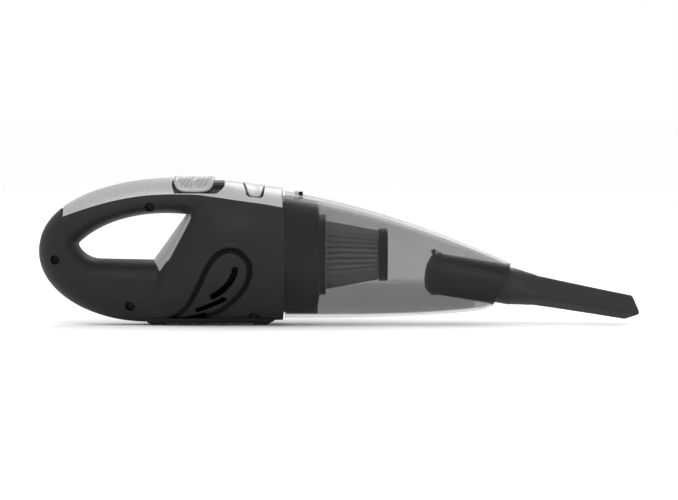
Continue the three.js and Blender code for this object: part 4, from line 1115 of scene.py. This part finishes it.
class VACUUM_OT_stage(bpy.types.Operator):
    """Pale floor, soft lights and the camera beside the vacuum"""

    bl_idname = "vacuum.stage"
    bl_label = "Stage"

    def execute(self, context):
        """The floor is rings of growing radius; the camera stands square to the right side."""
        scene = context.scene
        a = np.linspace(0, 2 * math.pi, 96, endpoint=False)
        r = np.array([0.001, 1.0, 3.0, 12.0])[:, None]
        floor_points = np.stack([r * np.cos(a), r * np.sin(a), 0 * r * a - 0.0002], -1)
        floor = bpy.data.objects.new("floor", grid_mesh("floor", floor_points, caps=("first",)))
        scene.collection.objects.link(floor)
        material = bpy.data.materials.new("white_paper_sweep")
        material.use_nodes = True
        shader = material.node_tree.nodes["Principled BSDF"]
        shader.inputs["Base Color"].default_value = linear("#fdfdfd")
        shader.inputs["Roughness"].default_value = 0.9
        shader.inputs["Specular IOR Level"].default_value = 0.1
        floor.data.materials.append(material)
        world = bpy.data.worlds.new("studio")
        world.use_nodes = True
        world.node_tree.nodes["Background"].inputs[0].default_value = (1, 1, 1, 1)
        world.node_tree.nodes["Background"].inputs[1].default_value = 1.0
        scene.world = world
        scene.view_settings.view_transform = "Standard"
        area_light("key", (-0.5, -1.3, 1.7), 0.9, 11)
        area_light("fill", (1.4, -1.5, 0.7), 1.2, 4)
        area_light("rim", (0.3, 1.5, 1.4), 1.0, 10)
        camera = bpy.data.objects.new("camera", bpy.data.cameras.new("camera"))
        scene.collection.objects.link(camera)
        low, high = CAD_BOX
        middle = (low + high) / 2
        distance_m, elevation, span = 3.2, math.radians(2.5), 1.13 * (high.x - low.x)
        camera.data.sensor_width = 36.0
        camera.data.lens = 36.0 * distance_m / span
        camera.location = (middle.x, middle.y - distance_m * math.cos(elevation),
                           middle.z + distance_m * math.sin(elevation))
        camera.rotation_euler = (math.pi / 2 - elevation, 0, 0)
        scene.camera = camera
        return {"FINISHED"}


STEPS = (VACUUM_OT_finishes, VACUUM_OT_housing_shells, VACUUM_OT_foot, VACUUM_OT_top_panel,
         VACUUM_OT_controls, VACUUM_OT_latch_spring, VACUUM_OT_grip, VACUUM_OT_dust_cup,
         VACUUM_OT_lower_cup_shade_sheet, VACUUM_OT_inlet, VACUUM_OT_filter,
         VACUUM_OT_crevice_tool, VACUUM_OT_stage)


class VACUUM_PT_pieces(bpy.types.Panel):
    """Sizes, colours and one button for each group of pieces"""

    bl_idname = "VACUUM_PT_pieces"
    bl_label = "Handheld vacuum"
    bl_space_type = "VIEW_3D"
    bl_region_type = "UI"
    bl_category = "Vacuum"

    def draw(self, context):
        for group in (context.scene.vacuum_sizes, context.scene.vacuum_colours):
            for name in group.__annotations__:
                self.layout.prop(group, name)
        for step in STEPS:
            self.layout.operator(step.bl_idname)


CLASSES = (VacuumSizes, VacuumColours, *STEPS, VACUUM_PT_pieces)


def register():
    for each in CLASSES:
        bpy.utils.register_class(each)
    bpy.types.Scene.vacuum_sizes = PointerProperty(type=VacuumSizes)
    bpy.types.Scene.vacuum_colours = PointerProperty(type=VacuumColours)


def unregister():
    del bpy.types.Scene.vacuum_sizes, bpy.types.Scene.vacuum_colours
    for each in reversed(CLASSES):
        bpy.utils.unregister_class(each)


def main():
    register()
    for step in STEPS:
        group, name = step.bl_idname.split(".")
        getattr(getattr(bpy.ops, group), name)()


if __name__ == "__main__":
    main()
